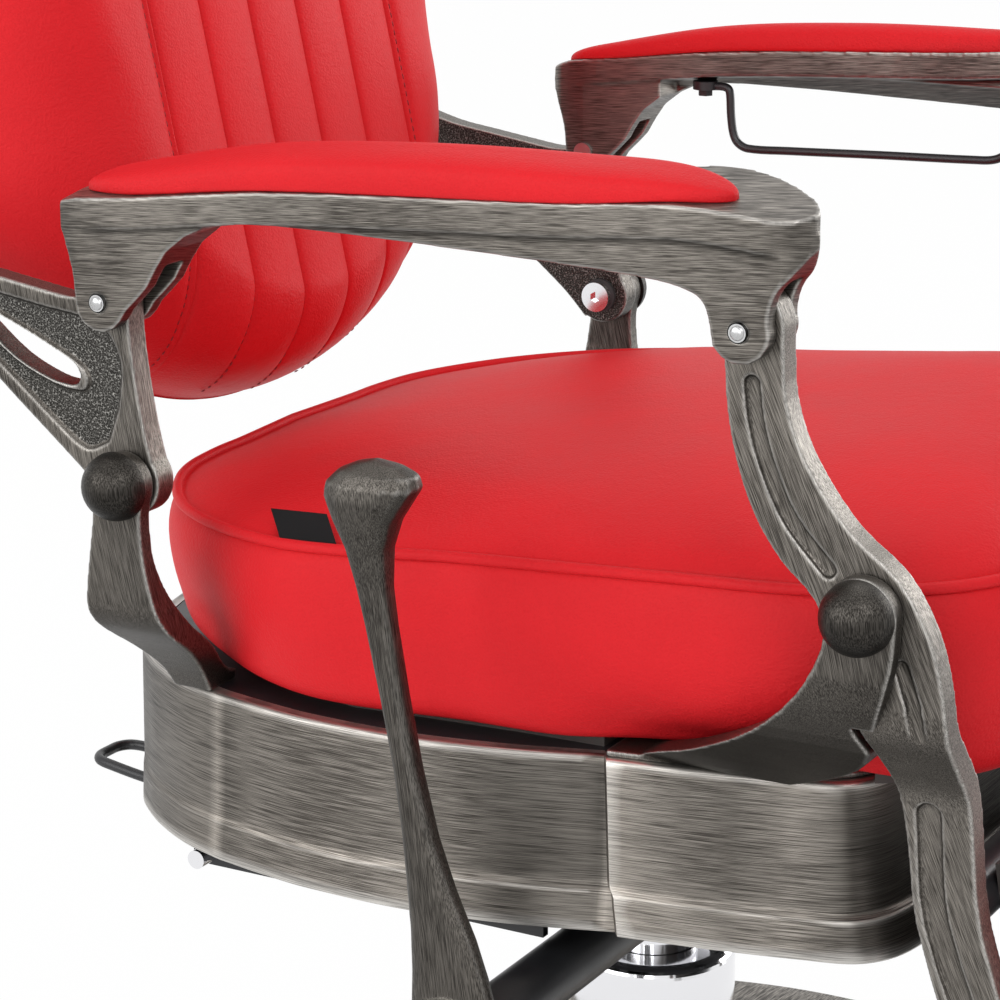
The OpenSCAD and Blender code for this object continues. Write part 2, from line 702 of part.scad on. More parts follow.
module front_bracket() {
    p = hinge_front;
    low = rim_z + pivot_drop;
    color(METAL) difference() {
        union() {
            intersection() {
                union() {
                    side_view(-ear_out, -190) translate(p) polygon(concat(
                        curve([[20, 0], [21, -21], [36, -49], [69, -80], [119, -109],
                            [150, -121], [168, low]], 3),
                        curve([[69, low], [33, -112], [6, -92], [-10, -56], [-19, -27],
                            [-21, 0]], 3)));
                    x_pin(p, -ear_out, -ear_in, ear_r + 1);
                }
                front_view(-pivot_span - 60, -200) translate([0, -pivot_drop]) polygon(concat(
                    [[-ear_out, 40]],
                    curve([[-ear_out, -36], [-ear_out + 6, -56], [-ear_out + 21, -82],
                        [-ear_out + 46, -106], [-ear_out + 76, low]], 3),
                    curve([[-ear_out + 100, low], [-ear_out + 88, low + 9], [-ear_out + 58, -94],
                        [-ear_out + 32, -72], [-ear_in + 4, -48], [-ear_in, -30]], 3),
                    [[-ear_in, 40]]));
            }
            intersection() {
                translate([0, frame_mid, rim_z]) linear_extrude(4)
                    scale(inset_share(4)) polygon(frame_outline(2));
                translate([-frame_w / 2, -frame_front + 16, rim_z]) cube([90, 146, 4]);
            }
        }
        x_pin(p, -ear_out - 1, -ear_in + 1, hinge_r + 0.02);
        // room for the front lever
        side_view(-ear_in, -link_in + 60) translate(p) polygon([[-80, 30], [34, 30], [33.5, 4],
            [24, -26], [10, -58], [-4, -92], [-13, -134], [-80, -134]]);
        bracket_holes();
    }
}

module bracket_bolts() {
    color(STEEL) upper() for (p = bolt_places) translate([p.x, p.y, 0]) {
        translate([0, 0, ledge_low - 5]) cylinder(h = rim_z + 9 - ledge_low, r = bolt_r);
        translate([0, 0, ledge_low - 6]) cylinder(h = 6, r = bolt_r * 1.7, $fn = 6);
    }
}

hinges = [[0, 0], hinge_front];

module hinge_caps() {
    color(METAL) upper() for (s = [0, 1]) mirror([s, 0, 0]) for (h = hinges)
        translate([-ear_out, h.x, h.y]) difference() {
            sphere(r = cap_r);
            translate([0, -40, -40]) cube([80, 80, 80]);
            translate([-6, 0, 0]) rotate([0, 90, 0]) cylinder(h = 8, r = hinge_r + 0.1);
        }
}

module hinge_bolts() {
    head = link_in - 3.3;
    color(STEEL) upper() for (s = [0, 1]) mirror([s, 0, 0]) for (h = hinges) difference() {
        union() {
            x_pin(h, -ear_out - 5, -head, hinge_r);
            x_pin(h, -head, -head + 7, hinge_r + 3);
        }
        translate([-head + 3, h.x, h.y]) rotate([0, 90, 0]) cylinder(h = 6, r = 4.2, $fn = 6);
    }
}

module hinge_washers() {
    color(BLACK) upper() for (s = [0, 1]) mirror([s, 0, 0]) for (h = hinges) difference() {
        x_pin(h, -link_in + 0.3, -link_in + 3.3, hinge_r + 4.5);
        x_pin(h, -link_in, -link_in + 4, hinge_r + 0.02);
    }
}

// ---- Back castings and backrest ----

module back_casting() {
    t = back_tube_at;
    r = arm_rear;
    outline = concat(
        curve([[-20, 0], [-11, 36], [r.x - 14, r.y - 26], [r.x - 13, r.y]], 4),
        curve([[r.x + 13, r.y], [r.x + 30, r.y - 1], [64, 110], [98, 115], [130, 120],
            [t.x - 20, t.y + 14], [t.x - 4, t.y + 19]], 3),
        curve([[t.x + 8, t.y - 18], [t.x - 26, t.y - 22], [110, 64], [80, 40], [54, 19],
            [30, -1], [14, -18]], 3));
    panel = concat(curve([[6, 44], [4, 72], [18, 92], [60, 99], [110, 106], [142, 108]], 3),
        curve([[148, 98], [112, 76], [80, 52], [52, 30], [30, 16], [14, 22]], 3));
    window = curve([[33, 60], [37, 66.5], [54, 75], [78, 85], [104, 94], [113, 93], [104, 84],
        [80, 66], [56, 56], [41, 53.6], [35, 55], [33, 60]], 3);
    color(METAL) difference() {
        union() {
            side_view(-link_out, -link_in) polygon(outline);
            x_pin([0, 0], -link_out, -link_in, 21);
            x_pin(r, -link_out, -link_in, 13);
            x_pin(t, -link_out, -link_in, back_tube_r + 4);
        }
        side_view(-link_out - 1, -link_out + 3) difference() {
            polygon(panel);
            offset_window(window);
        }
        side_view(-link_out - 1, -link_in + 1) polygon(window);
        x_pin([0, 0], -link_out - 1, -link_in + 1, hinge_r + run_fit);
        x_pin(r, -link_out - 1, -link_in + 1, arm_pin_r + run_fit);
        x_pin(t, -link_out - 1, -link_in + 1, 6);
    }
}
// The raised lip round the window
module offset_window(p) {
    c = [72, 74];
    polygon([for (q = p) c + (q - c) * 1.15]);
}

module back_tube() {
    color(METAL) upper() difference() {
        x_pin(back_tube_at, -link_in, link_in, back_tube_r);
        x_pin(back_tube_at, -link_in - 1, -link_in + 40, 6);
        x_pin(back_tube_at, link_in - 40, link_in + 1, 6);
    }
}

module back_tube_bolts() {
    color(STEEL) upper() for (s = [0, 1]) mirror([s, 0, 0]) {
        x_pin(back_tube_at, -link_out, -link_in + 36, 5.98);
        x_pin(back_tube_at, -link_out - 6, -link_out, 10);
    }
}

// Outline of the backrest as [x, v], grown or drawn in by d
function back_outline(d, n = 12) =
    let (w = back_w / 2 + d, c = back_corner + d, lo = back_low + back_round)
    concat(
        [for (i = [0:2 * n]) let (a = -180 + 180 * i / (2 * n))
            [w * cos(a), lo + (back_round + d) * sin(a)]],
        arc(c, 0, 90, n / 2, [w - c, back_top + d - c]),
        arc(c, 90, 180, n / 2, [c - w, back_top + d - c]));

module back_shell() {
    color(BLACK) leaning() translate([0, rear_u + shell_t, 0]) rotate([90, 0, 0])
        linear_extrude(shell_t) polygon(back_outline(-8));
}

// Nearness of a point of the backrest to its edge, in mm
function back_edge(x, v) =
    let (w = back_w / 2, lo = back_low + back_round, c = back_corner)
    v < lo ? (1 - sqrt((x / w) ^ 2 + ((lo - v) / back_round) ^ 2)) * back_round
    : abs(x) > w - c && v > back_top - c ? c - norm([abs(x) - w + c, v - back_top + c])
    : min(w - abs(x), back_top - v);
// Height of the front of the cushion: rounded over at the edge, dipped along the grooves
function groove(x) =
    let (step = panel_w / channels, s = (x + panel_w / 2) / step)
    abs(x) > panel_w / 2 + 14 ? 0 : abs(x) > panel_w / 2 ? 1 - (abs(x) - panel_w / 2) / 14
    : abs(cos(180 * s)) ^ 3;
function back_front(x, v) =
    let (e = max(back_edge(x, v), 0), r = v < 300 ? 65 : 60, k = min(e / r, 1))
    edge_u - (edge_u - back_u) * sqrt(1 - (1 - k) ^ 1.5) + channel_d * groove(x) * min(1, e / 30);

// Columns of the cushion's front: five sets in each channel and six in each side
function back_columns() =
    let (w = back_w / 2, q = panel_w / 2)
    concat([for (s = [1, 0.985, 0.93, 0.83, 0.7, 0.5, 0.25]) -lerp(q, w, s)],
        [for (i = [0:4 * channels]) -q + i * panel_w / (4 * channels)],
        [for (s = [0.25, 0.5, 0.7, 0.83, 0.93, 0.985, 1]) lerp(q, w, s)]);
function back_v(x, t) =
    let (w = back_w / 2, s = min(abs(x) / w, 1), over = max(abs(x) - w + back_corner, 0),
        low = back_low + back_round * (1 - sqrt(1 - s ^ 2)),
        high = back_top - back_corner + sqrt(max(back_corner ^ 2 - over ^ 2, 0)))
    lerp(low, high, t);

module back_cushion() {
    xs = back_columns();
    ts = [0, 0.012, 0.04, 0.09, 0.16, 0.26, 0.42, 0.6, 0.76, 0.88, 0.95, 0.985, 1];
    m = len(xs);
    k = len(ts);
    front = [for (t = ts) for (x = xs) let (v = back_v(x, t)) [x, back_front(x, v), v]];
    function f(i, j) = i * m + j;
    rim = concat([for (j = [0:m - 1]) f(0, j)], [for (i = [1:k - 1]) f(i, m - 1)],
        [for (j = [m - 2:-1:0]) f(k - 1, j)], [for (i = [k - 2:-1:1]) f(i, 0)]);
    n = len(rim);
    mid = back_low + back_h / 2;
    side = [for (q = rim) [front[q].x, rear_u - 4, front[q].z]];
    rear = [for (q = rim) [front[q].x * 0.98, rear_u, mid + (front[q].z - mid) * 0.985]];
    points = concat(front, side, rear, [[0, rear_u, mid]]);
    a = k * m;
    faces = concat(
        [for (i = [0:k - 2]) for (j = [0:m - 2]) each
            [[f(i, j), f(i + 1, j), f(i, j + 1)], [f(i, j + 1), f(i + 1, j), f(i + 1, j + 1)]]],
        [for (i = [0:n - 1]) let (j = (i + 1) % n) each
            [[rim[i], rim[j], a + i], [rim[j], a + j, a + i],
                [a + i, a + j, a + n + i], [a + j, a + n + j, a + n + i],
                [a + n + i, a + n + j, a + 2 * n]]]);
    color(RED) leaning() polyhedron(points, faces);
}

module back_saddles() {
    t = back_tube_at;
    u = t.x * cos(back_tilt) - t.y * sin(back_tilt);
    v = t.x * sin(back_tilt) + t.y * cos(back_tilt);
    color(BLACK) difference() {
        leaning() for (s = [-1, 1]) translate([s * 120 - 20, rear_u + shell_t, v - 30])
            cube([40, u + 26 - rear_u - shell_t, 60]);
        upper() x_pin(t, -200, 200, back_tube_r + 0.02);
    }
}

// ---- Headrest ----

module headrest_socket() {
    color(METAL) leaning() difference() {
        union() {
            translate([0, post_u, socket_top - socket_h]) cylinder(h = socket_h, r = post_r + 7);
            translate([-30, rear_u + shell_t, socket_top - socket_h]) cube([60, 8, socket_h]);
            translate([-8, rear_u + shell_t + 4, socket_top - socket_h])
                cube([16, post_u - rear_u - shell_t - 8, socket_h]);
            translate([0, post_u, socket_top - socket_h / 2]) rotate([-90, 0, 0])
                cylinder(h = post_r + 12, r = 9);
        }
        translate([0, post_u, socket_top - socket_h - 1])
            cylinder(h = socket_h + 2, r = post_r + run_fit);
        translate([0, post_u, socket_top - socket_h / 2]) rotate([-90, 0, 0])
            cylinder(h = 60, r = 4 + run_fit);
    }
}

module clamp_knob() {
    color(BLACK) leaning() translate([0, post_u, socket_top - socket_h / 2]) rotate([-90, 0, 0]) {
        translate([0, 0, post_r + 1]) cylinder(h = 20, r = 4);
        translate([0, 0, post_r + 13]) cylinder(h = 16, r = 17);
        for (i = [0:4]) rotate(i * 72) translate([15, 0, post_r + 13]) cylinder(h = 16, r = 5);
    }
}

module headrest_post() {
    low = socket_top - socket_h / 2 - post_travel;
    color(STEEL) leaning() {
        translate([0, post_u, low]) cylinder(h = head_pivot_v - 13 - low, r = post_r);
        difference() {
            union() {
                x_pin([post_u, head_pivot_v], -9, 9, 14);
            }
            x_pin([post_u, head_pivot_v], -10, 10, 5 + run_fit);
        }
    }
}

module headrest_bracket() {
    plate_u = back_u + head_t;
    v = head_pivot_v;
    color(METAL) leaning() {
        for (s = [-1, 1]) translate([s < 0 ? -17 : 10, 0, 0]) {
            x_pin([post_u, v], 0, 7, 14);
            side_view(0, 7) polygon([[post_u, v - 13], [post_u, v + 13], [plate_u + 6, v + 36],
                [plate_u + 6, v + 8]]);
        }
        translate([-40, plate_u, v]) cube([80, 7, 66]);
        x_pin([post_u, v], -20, 20, 5);
    }
}

function oval(w, h, d, n, sharp) = [for (i = [0:n - 1]) let (a = 360 * i / n,
    c = cos(a), s = sin(a)) [(w / 2 - d) * sign(c) * abs(c) ^ sharp,
    (h / 2 - d) * sign(s) * abs(s) ^ sharp]];

module headrest_cushion() {
    mid = head_pivot_v + 34;
    levels = [[0, 14], [5, 5], [18, 0], [36, 0], [52, 6], [62, 16], [68, 28], [71, 42]];
    color(RED) leaning() translate([0, back_u + head_t - 0.3, mid]) rotate([90, 0, 0])
        rings_solid([for (l = levels) [for (p = oval(head_w, head_h, l[1], 40, 0.55))
            [p.x, p.y, l[0] * head_t / 72]]], [0, 0, 0], [0, 0, head_t]);
}

// ---- Armrests ----

// Top edge of the armrest in side view, from the rear tip to the front tip
function arm_top() =
    let (a = arm_rear, b = arm_front, h = arm_rise)
    curve([a + [30, h - 13], a + [14, h - 8], a + [-26, h - 4], lerp(a, b, 0.265) + [0, h - 1],
        lerp(a, b, 0.5) + [0, h - 1.5], lerp(a, b, 0.744) + [0, h - 3],
        lerp(a, b, 0.9) + [0, h - 2], b + [0, h - 6.5], b + [-20, h - 8.5],
        b + [-36, h - 8.5]], 2);
// Underside from the front tip to the rear tip, round both cheeks
function arm_low() =
    let (a = arm_rear, b = arm_front, h = arm_rise - arm_beam)
    concat(
        curve([b + [-37, h + 12], b + [-38, h + 7], b + [-34, h], b + [-27, 30], b + [-21, 23],
            b + [-17.5, 15], b + [-16.5, 6], b + [-17.5, 0]], 2),
        arc(17.5, 200, 330, 5, b),
        curve([b + [17, 2], b + [20, 12], b + [26, 17.5], b + [44, 22], b + [80, 24.5],
            lerp(a, b, 0.6) + [0, h - 2], lerp(a, b, 0.3) + [0, h + 8], a + [-76, 51],
            a + [-48, 34], a + [-34, 12], a + [-19, -3]], 2),
        arc(17.5, 215, 330, 5, a),
        curve([a + [17, 2], a + [19, 18], a + [25, 34], a + [30, h + 6], a + [31, h + 12]], 2));
// Plan of the armrest as [x, y] from its outer face, rear tip to front tip and back
function arm_plan() =
    let (a = arm_rear.x, b = arm_front.x, o = -arm_out, i = -arm_in, w = paddle_w)
    concat(
        curve([[o + 16, a + 34], [o + 6, a + 27], [o + 1, a + 8], [o, a - 30],
            [o, lerp(a, b, 0.5)], [o, b + 60], [o, b - 12], [o + 4, b - 27],
            [o + 12, b - 34.5]], 4),
        curve([[o + 20, b - 37], [i - 6, b - 28], [i + w * 0.16, b - 18], [i + w * 0.54, b - 4],
            [i + w * 0.84, b + 12], [i + w, b + 36], [i + w - 5, b + 75],
            [i + 5, lerp(a, b, 0.6)], [i, lerp(a, b, 0.35)], [i, a - 10], [i - 6, a + 22],
            [o + 26, a + 34]], 4));
arm_tilt = 9.5;
band_t = 18;
// Tilts the top of the armrest about its outer edge, so that the inner edge is higher
module arm_tilted() {
    z = arm_rear_z + arm_rise;
    translate([-arm_out, 0, z]) rotate([0, -arm_tilt, 0]) translate([arm_out, 0, -z]) children();
}

module arm() {
    slot_a = -ear_in + 0.5;
    slot_b = -link_in + link_gap;
    top = arm_top();
    k = len(top) - 1;
    below = [for (i = [k:-1:0]) top[i] - [0, band_t]];
    web_in = -link_in + 11;
    color(METAL) difference() {
        union() {
            intersection() {
                arm_tilted() side_view(-arm_out - 6, -arm_in + paddle_w + 8)
                    polygon(concat(top, below));
                translate([0, 0, 60]) linear_extrude(200) polygon(arm_plan());
            }
            difference() {
                intersection() {
                    side_view(-arm_out + 2, web_in) polygon(concat(
                        [for (i = [1:k - 1]) top[i] - [0, 10]], arm_low()));
                    translate([0, 0, 60]) linear_extrude(200) polygon(arm_plan());
                }
                translate([0, 0, -0.5]) front_view(arm_front.x + 34, arm_rear.x - 62)
                    polygon([[-arm_out + 14, 130], [-arm_out + 14, 158], [web_in - 2, 178],
                        [web_in + 5, 178], [web_in + 5, 130]]);
            }
        }
        arm_slots(slot_a, slot_b);
        x_pin(arm_rear, -arm_out - 1, web_in + 1, arm_pin_r + 0.02);
        x_pin(arm_front, -arm_out - 1, web_in + 1, arm_pin_r + 0.02);
    }
}
// Slots between the cheeks, for the knuckle of the back casting and the front lever
module arm_slots(a, b) {
    r = arm_rear;
    f = arm_front;
    translate([a, r.x - 66, r.y - 30]) cube([b - a, 120, 54]);
    translate([a, f.x - 60, f.y - 30]) cube([b - a, 90, 57]);
}

module arm_pad() {
    top = arm_top();
    rear = arm_rear.x + 18;
    front = arm_front.x + 11;
    mid = -arm_out + 1.5 + pad_w / 2;
    // stations of the pad along the top of the armrest
    stations = concat([rear], [for (p = top) if (p.x < rear - 3 && p.x > front + 3) p.x], [front]);
    rings = [for (i = [len(stations) - 1:-1:0]) let (y = stations[i],
        t = (y - rear) / (front - rear), w = sqrt(max(1 - (2 * t - 1) ^ 10, 0)),
        x = pad_w / 2 * max(w, 0.3), e = sin(180 * t) ^ 0.35,
        h = pad_h * (0.28 + 0.72 * e) * lerp(0.9, 1.05, t), z = lookup(y, top))
        [for (c = [[-0.92, 0], [-1, 0.25], [-0.96, 0.6], [-0.78, 0.88], [-0.4, 1], [0.4, 1],
            [0.78, 0.88], [0.96, 0.6], [1, 0.25], [0.92, 0]]) [mid + c.x * x, y, z + c.y * h]]];
    color(RED) upper() arm_tilted() rings_solid(rings,
        [mid, front - 0.8, lookup(front, top) + pad_h * 0.14],
        [mid, rear + 0.8, lookup(rear, top) + pad_h * 0.14]);
}

module arm_pins() {
    inner = link_in - 11;
    color(STEEL) for (p = [arm_rear, arm_front]) {
        x_pin(p, -arm_out + 2, -inner, arm_pin_r);
        x_pin(p, -arm_out + 0.4, -arm_out + 2, arm_pin_r);
        x_pin(p, -inner, -inner + 2, arm_pin_r + 2);
    }
}

// Towel rail under the left arm, drawn on the right and mirrored with it
towel_x = arm_in + 10;
module towel_rail() {
    r = rail_d / 2;
    x = -towel_x;
    color(BLACK) upper() left() {
        rod([[x, -78, 155], [x, -106, 153], [x, -112, 146], [x, -117, 126], [x, -126, 119],
            [x, arm_front.x + 93, 123], [x, arm_front.x + 83, 130], [x, arm_front.x + 75, 150]], r);
        translate([x, -84, 151]) cylinder(h = 6, r = 9);
        translate([x, -84, 145]) cylinder(h = 6.01, r = 5.5, $fn = 6);
        translate([x, arm_front.x + 75, 146]) cylinder(h = 12, r = 9);
    }
}
// ---- Front levers and leg rest ----

function lever_outline() =
    let (a = arm_front, h = hinge_front, f = [foot_pin_at.x - pivot_y, foot_pin_at.y - pivot_z])
    concat(
        curve([a + [14, 4], a + [13, -19], a + [11, -44], a + [5, -72], a + [-6, -100],
            h + [50, 20], h + [30, 1], h + [20, -26], h + [8, -58], h + [-6, -92], h + [-15, -134],
            h + [-22, -182], lerp(h, f, 0.66) + [25, 6], lerp(h, f, 0.86) + [18, 2],
            f + [15, 0]], 3),
        arc(15, 0, -180, 8, f),
        curve([f + [-15, 0], lerp(h, f, 0.86) + [-22, 0], lerp(h, f, 0.66) + [-16, 2],
            h + [-60, -182], h + [-52, -118], h + [-48, -80], h + [-44, -42], h + [-35, -10],
            h + [-17, 19], h + [12, 42], a + [-34, -66], a + [-23, -36], a + [-21, -8],
            a + [-20, 8], a + [-13, 19], a + [0, 22], a + [11, 16], a + [14, 4]], 3));

// A groove along a line of points, of half width w, cut into the face at x
module round_groove(p, w, x) {
    side_view(x - 1, x + 3.5) polygon(strip(p, w));
    for (q = [p[0], p[len(p) - 1]]) x_pin(q, x - 1, x + 3.5, w);
}

module front_lever() {
    a = arm_front;
    h = hinge_front;
    f = [foot_pin_at.x - pivot_y, foot_pin_at.y - pivot_z];
    leg_in = leg_gap / 2;
    leg_out = leg_in + link_t;
    color(METAL) difference() {
        intersection() {
            side_view(-link_out, -leg_in) polygon(lever_outline());
            front_view(-900, -200) polygon(concat(
                [[-link_out, 200]],
                curve([[-link_out, -60], [-link_out + 3, -76], [lerp(-link_out, -leg_out, 0.5), -94],
                    [-leg_out - 2, -114], [-leg_out, -132]], 4),
                [[-leg_out, -500], [-leg_in, -500]],
                curve([[-leg_in, -122], [-leg_in - 3, -106], [lerp(-link_in, -leg_in, 0.5), -88],
                    [-link_in + 2, -70], [-link_in, -54]], 4),
                [[-link_in, 200]]));
        }
        // round ended grooves of the upper limb, of the jog and of the lower leg
        round_groove(curve([a + [-3, -29], a + [-6, -50], a + [-14, -75], a + [-27, -100],
            a + [-49, -124]], 4), 4.5, -link_out);
        round_groove([h + [-20, -28], h + [-27, -48], h + [-30, -66]], 4, -link_out);
        round_groove(curve([h + [-27, -118], h + [-34, -180], lerp(h, f, 0.66) + [7, 4],
            lerp(h, f, 0.84) + [1, 2]], 4), 7, -leg_out);
        x_pin(h, -link_out - 1, -link_in + 1, hinge_r + run_fit);
        x_pin(a, -link_out - 1, -link_in + 1, arm_pin_r + open_fit);
        x_pin(f, -leg_out - 1, -leg_in + 1, 6.02);
    }
}

module leg_tubes() {
    color(METAL) {
        for (t = [tube_up, tube_low]) x_pin(t, -leg_gap / 2, leg_gap / 2, leg_tube_r);
        for (s = [-1, 1]) lock_lug(lock_front, s, tube_low - lock_front + [14, 0]);
        x_pin(lock_front, lock_x - lock_eye_t / 2 - 9, lock_x + lock_eye_t / 2 + 9, lock_pin_r);
    }
}

// Frame of the calf pad: origin at the upper tube, leaning with the legs
module calf_frame() {
    translate([0, tube_up.x, tube_up.y]) rotate([-leg_lean, 0, 0]) children();
}
calf_w = leg_gap - 36;
module calf_board() {
    color(BLACK) calf_frame() translate([-calf_w / 2 + 12, -leg_tube_r - 10, -calf_h + 34])
        cube([calf_w - 24, 10, calf_h - 16]);
}

module calf_cushion() {
    levels = [[0, 12], [5, 3], [16, 0], [28, 4], [37, 15], [42, 32], [44, 50]];
    color(RED) calf_frame() translate([0, -leg_tube_r - 10, 26 - calf_h / 2]) rotate([90, 0, 0])
        rings_solid([for (l = levels) [for (p = oval(calf_w, calf_h, l[1], 40, 0.32))
            [p.x, p.y, l[0] * calf_t / 44]]], [0, 0, 0], [0, 0, calf_t]);
}

module foot_rest() {
    p = foot_pin_at;
    w = leg_gap / 2 - 2;
    color(METAL) difference() {
        union() {
            translate([0, p.x, p.y]) rotate([-8, 0, 0]) {
                translate([0, -foot_d, -foot_t / 2]) linear_extrude(foot_t)
                    polygon(concat([[-w + 20, foot_d], [w - 20, foot_d]],
                        curve([[w - 6, foot_d * 0.55], [w - 10, foot_d * 0.2], [w - 40, 10],
                            [0, 0], [-w + 40, 10], [-w + 10, foot_d * 0.2],
                            [-w + 6, foot_d * 0.55]], 4)));
                for (i = [0:5]) translate([-w + 60, -foot_d + 34 + i * 22, foot_t / 2 - 0.5])
                    cube([2 * w - 120, 9, 4]);
            }
            x_pin(p, -w, -w + 60, 13);
            x_pin(p, w - 60, w, 13);
        }
        x_pin(p, -w - 1, -w + 61, 6 + run_fit);
        x_pin(p, w - 61, w + 1, 6 + run_fit);
        translate([-w + 60, p.x - 14, p.y - 16]) cube([2 * w - 120, 40, 32]);
    }
}

module foot_pin() {
    out = leg_gap / 2 + link_t;
    color(STEEL) for (s = [0, 1]) mirror([s, 0, 0]) {
        x_pin(foot_pin_at, -out, -leg_gap / 2 + 70, 6);
        x_pin(foot_pin_at, -out - 5, -out, 10);
    }
}

// ---- Recline cylinder ----

module lock_frame() {
    translate([lock_x, lock_rear.x, lock_rear.y]) rotate([-lock_turn, 0, 0]) children();
}
barrel_a = 17;
barrel_b = 214;
module lock_cylinder() {
    color(BLACK) lock_frame() difference() {
        union() {
            x_pin([0, 0], -lock_eye_t / 2, lock_eye_t / 2, 15);
            translate([0, -16, 0]) rotate([90, 0, 0]) cylinder(h = barrel_b - 16, r = lock_r);
            translate([0, -8, 0]) rotate([90, 0, 0]) cylinder(h = 10, r = lock_eye_t / 2 - 1);
        }
        x_pin([0, 0], -lock_eye_t, lock_eye_t, lock_pin_r + run_fit);
        translate([0, -barrel_a - 20, 0]) rotate([90, 0, 0])
            cylinder(h = barrel_b, r = lock_rod_r + run_fit);
    }
}

module lock_rod() {
    color(STEEL) lock_frame() difference() {
        union() {
            translate([0, -barrel_a - 22, 0]) rotate([90, 0, 0])
                cylinder(h = lock_len - barrel_a - 22 - 12, r = lock_rod_r);
            x_pin([-lock_len, 0], -lock_eye_t / 2, lock_eye_t / 2, 15.5);
        }
        x_pin([-lock_len, 0], -lock_eye_t, lock_eye_t, lock_pin_r + 4.4);
    }
}

base_plate();
floor_plate();
floor_ring();
pump_cylinder();
pump_cover();
flange_bolts();
ram_seal();
ram();
swivel_bearing();
pump_head();
lever_tube();
subframe();
cross_pin();
seat_frame();
seat_pan();
cushion_board();
seat_cushion();
label_tag();
upper() rear_bracket();  // rear_bracket_right
upper() left() rear_bracket();  // rear_bracket_left
upper() front_bracket();  // front_bracket_right
upper() left() front_bracket();  // front_bracket_left
bracket_bolts();
hinge_caps();
hinge_bolts();
hinge_washers();
pump_piston();
lever_shaft();
pump_rocker();
hand_lever();
lever_nut();
release_loop();
upper() back_casting();  // back_casting_right
upper() left() back_casting();  // back_casting_left
back_tube();
back_tube_bolts();
back_saddles();
back_shell();
back_cushion();
headrest_socket();
clamp_knob();
headrest_post();
headrest_bracket();
headrest_cushion();
upper() arm();  // arm_right
arm_pad();  // arm_pad_right
upper() arm_pins();  // arm_pins_right
upper() left() arm();  // arm_left
left() arm_pad();  // arm_pad_left
upper() left() arm_pins();  // arm_pins_left
towel_rail();
upper() front_lever();  // front_lever_right
upper() left() front_lever();  // front_lever_left
leg_tubes();
calf_board();
calf_cushion();
foot_rest();
foot_pin();
lock_cylinder();
lock_rod();
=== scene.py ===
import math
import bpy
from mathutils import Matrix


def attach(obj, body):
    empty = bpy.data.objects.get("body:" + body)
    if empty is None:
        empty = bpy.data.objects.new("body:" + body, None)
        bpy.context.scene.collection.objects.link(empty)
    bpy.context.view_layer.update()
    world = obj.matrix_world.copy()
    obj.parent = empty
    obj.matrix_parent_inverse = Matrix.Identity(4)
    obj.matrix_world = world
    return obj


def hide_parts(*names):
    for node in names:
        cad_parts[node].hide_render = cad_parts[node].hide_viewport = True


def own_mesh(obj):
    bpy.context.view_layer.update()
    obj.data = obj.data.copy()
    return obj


bl_info = {
    "name": "Barber chair",
    "version": (1, 0, 0),
    "blender": (4, 5, 0),
    "location": "3D View > Sidebar > Chair",
    "description": "Upholstery, castings and finishes of a hydraulic barber chair",
    "category": "Object",
}

import bmesh
import bpy
from mathutils import Matrix, Vector, noise

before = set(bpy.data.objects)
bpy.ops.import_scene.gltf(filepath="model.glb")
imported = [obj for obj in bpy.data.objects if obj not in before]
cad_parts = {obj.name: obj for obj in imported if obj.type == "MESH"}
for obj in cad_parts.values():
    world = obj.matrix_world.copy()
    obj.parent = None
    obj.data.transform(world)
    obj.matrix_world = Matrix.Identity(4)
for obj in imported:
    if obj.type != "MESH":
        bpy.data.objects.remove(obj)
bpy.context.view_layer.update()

# Rear hinge axis of the seat, in metres, and the lean of the back at rest
HINGE = Vector((0.0, 0.195, 0.560))
LEAN = math.radians(12.4)
# Seat cushion in millimetres from the rear hinge: rear edge, front edge, underside, half width
SEAT_REAR, SEAT_FRONT, SEAT_LOW, SEAT_W = 87.0, -530.0, -130.0, 286.0
# Half outline of the seat at its welt, (x, y) in millimetres from the rear hinge
SEAT_HALF = [(0, 87), (75, 82), (92, 82), (114, 80), (138, 76), (160, 68), (181, 57), (195, 48),
             (216, 32), (239, 8), (260, -23), (274, -53), (285, -89), (286, -124), (281, -164),
             (277, -192), (275, -224), (274, -256), (273, -287), (272, -318), (271, -348),
             (271, -379), (269, -408), (262, -440), (248, -470), (228, -495), (196, -515),
             (140, -527), (70, -530), (0, -530)]
# Backrest in its own leaning frame, in millimetres
BACK_W = 252.0
BACK_LOW = 3.4
BACK_TOP = 563.4
BACK_ROUND = 193.0
BACK_CORNER = 70.0
BACK_FRONT = 38.0
BACK_EDGE = 122.0
BACK_REAR = 128.0
SEAM = 137.0
HALF_CHANNEL = 27.4
CHANNELS = [-137.0, -82.2, -27.4, 27.4, 82.2, 137.0]
# Second row of stitches, outwards from the seam
TOPSTITCH = 6.4
# Points of a mesh closer than this, in metres, are one point
MERGE = 1e-6


# ---- Settings ----

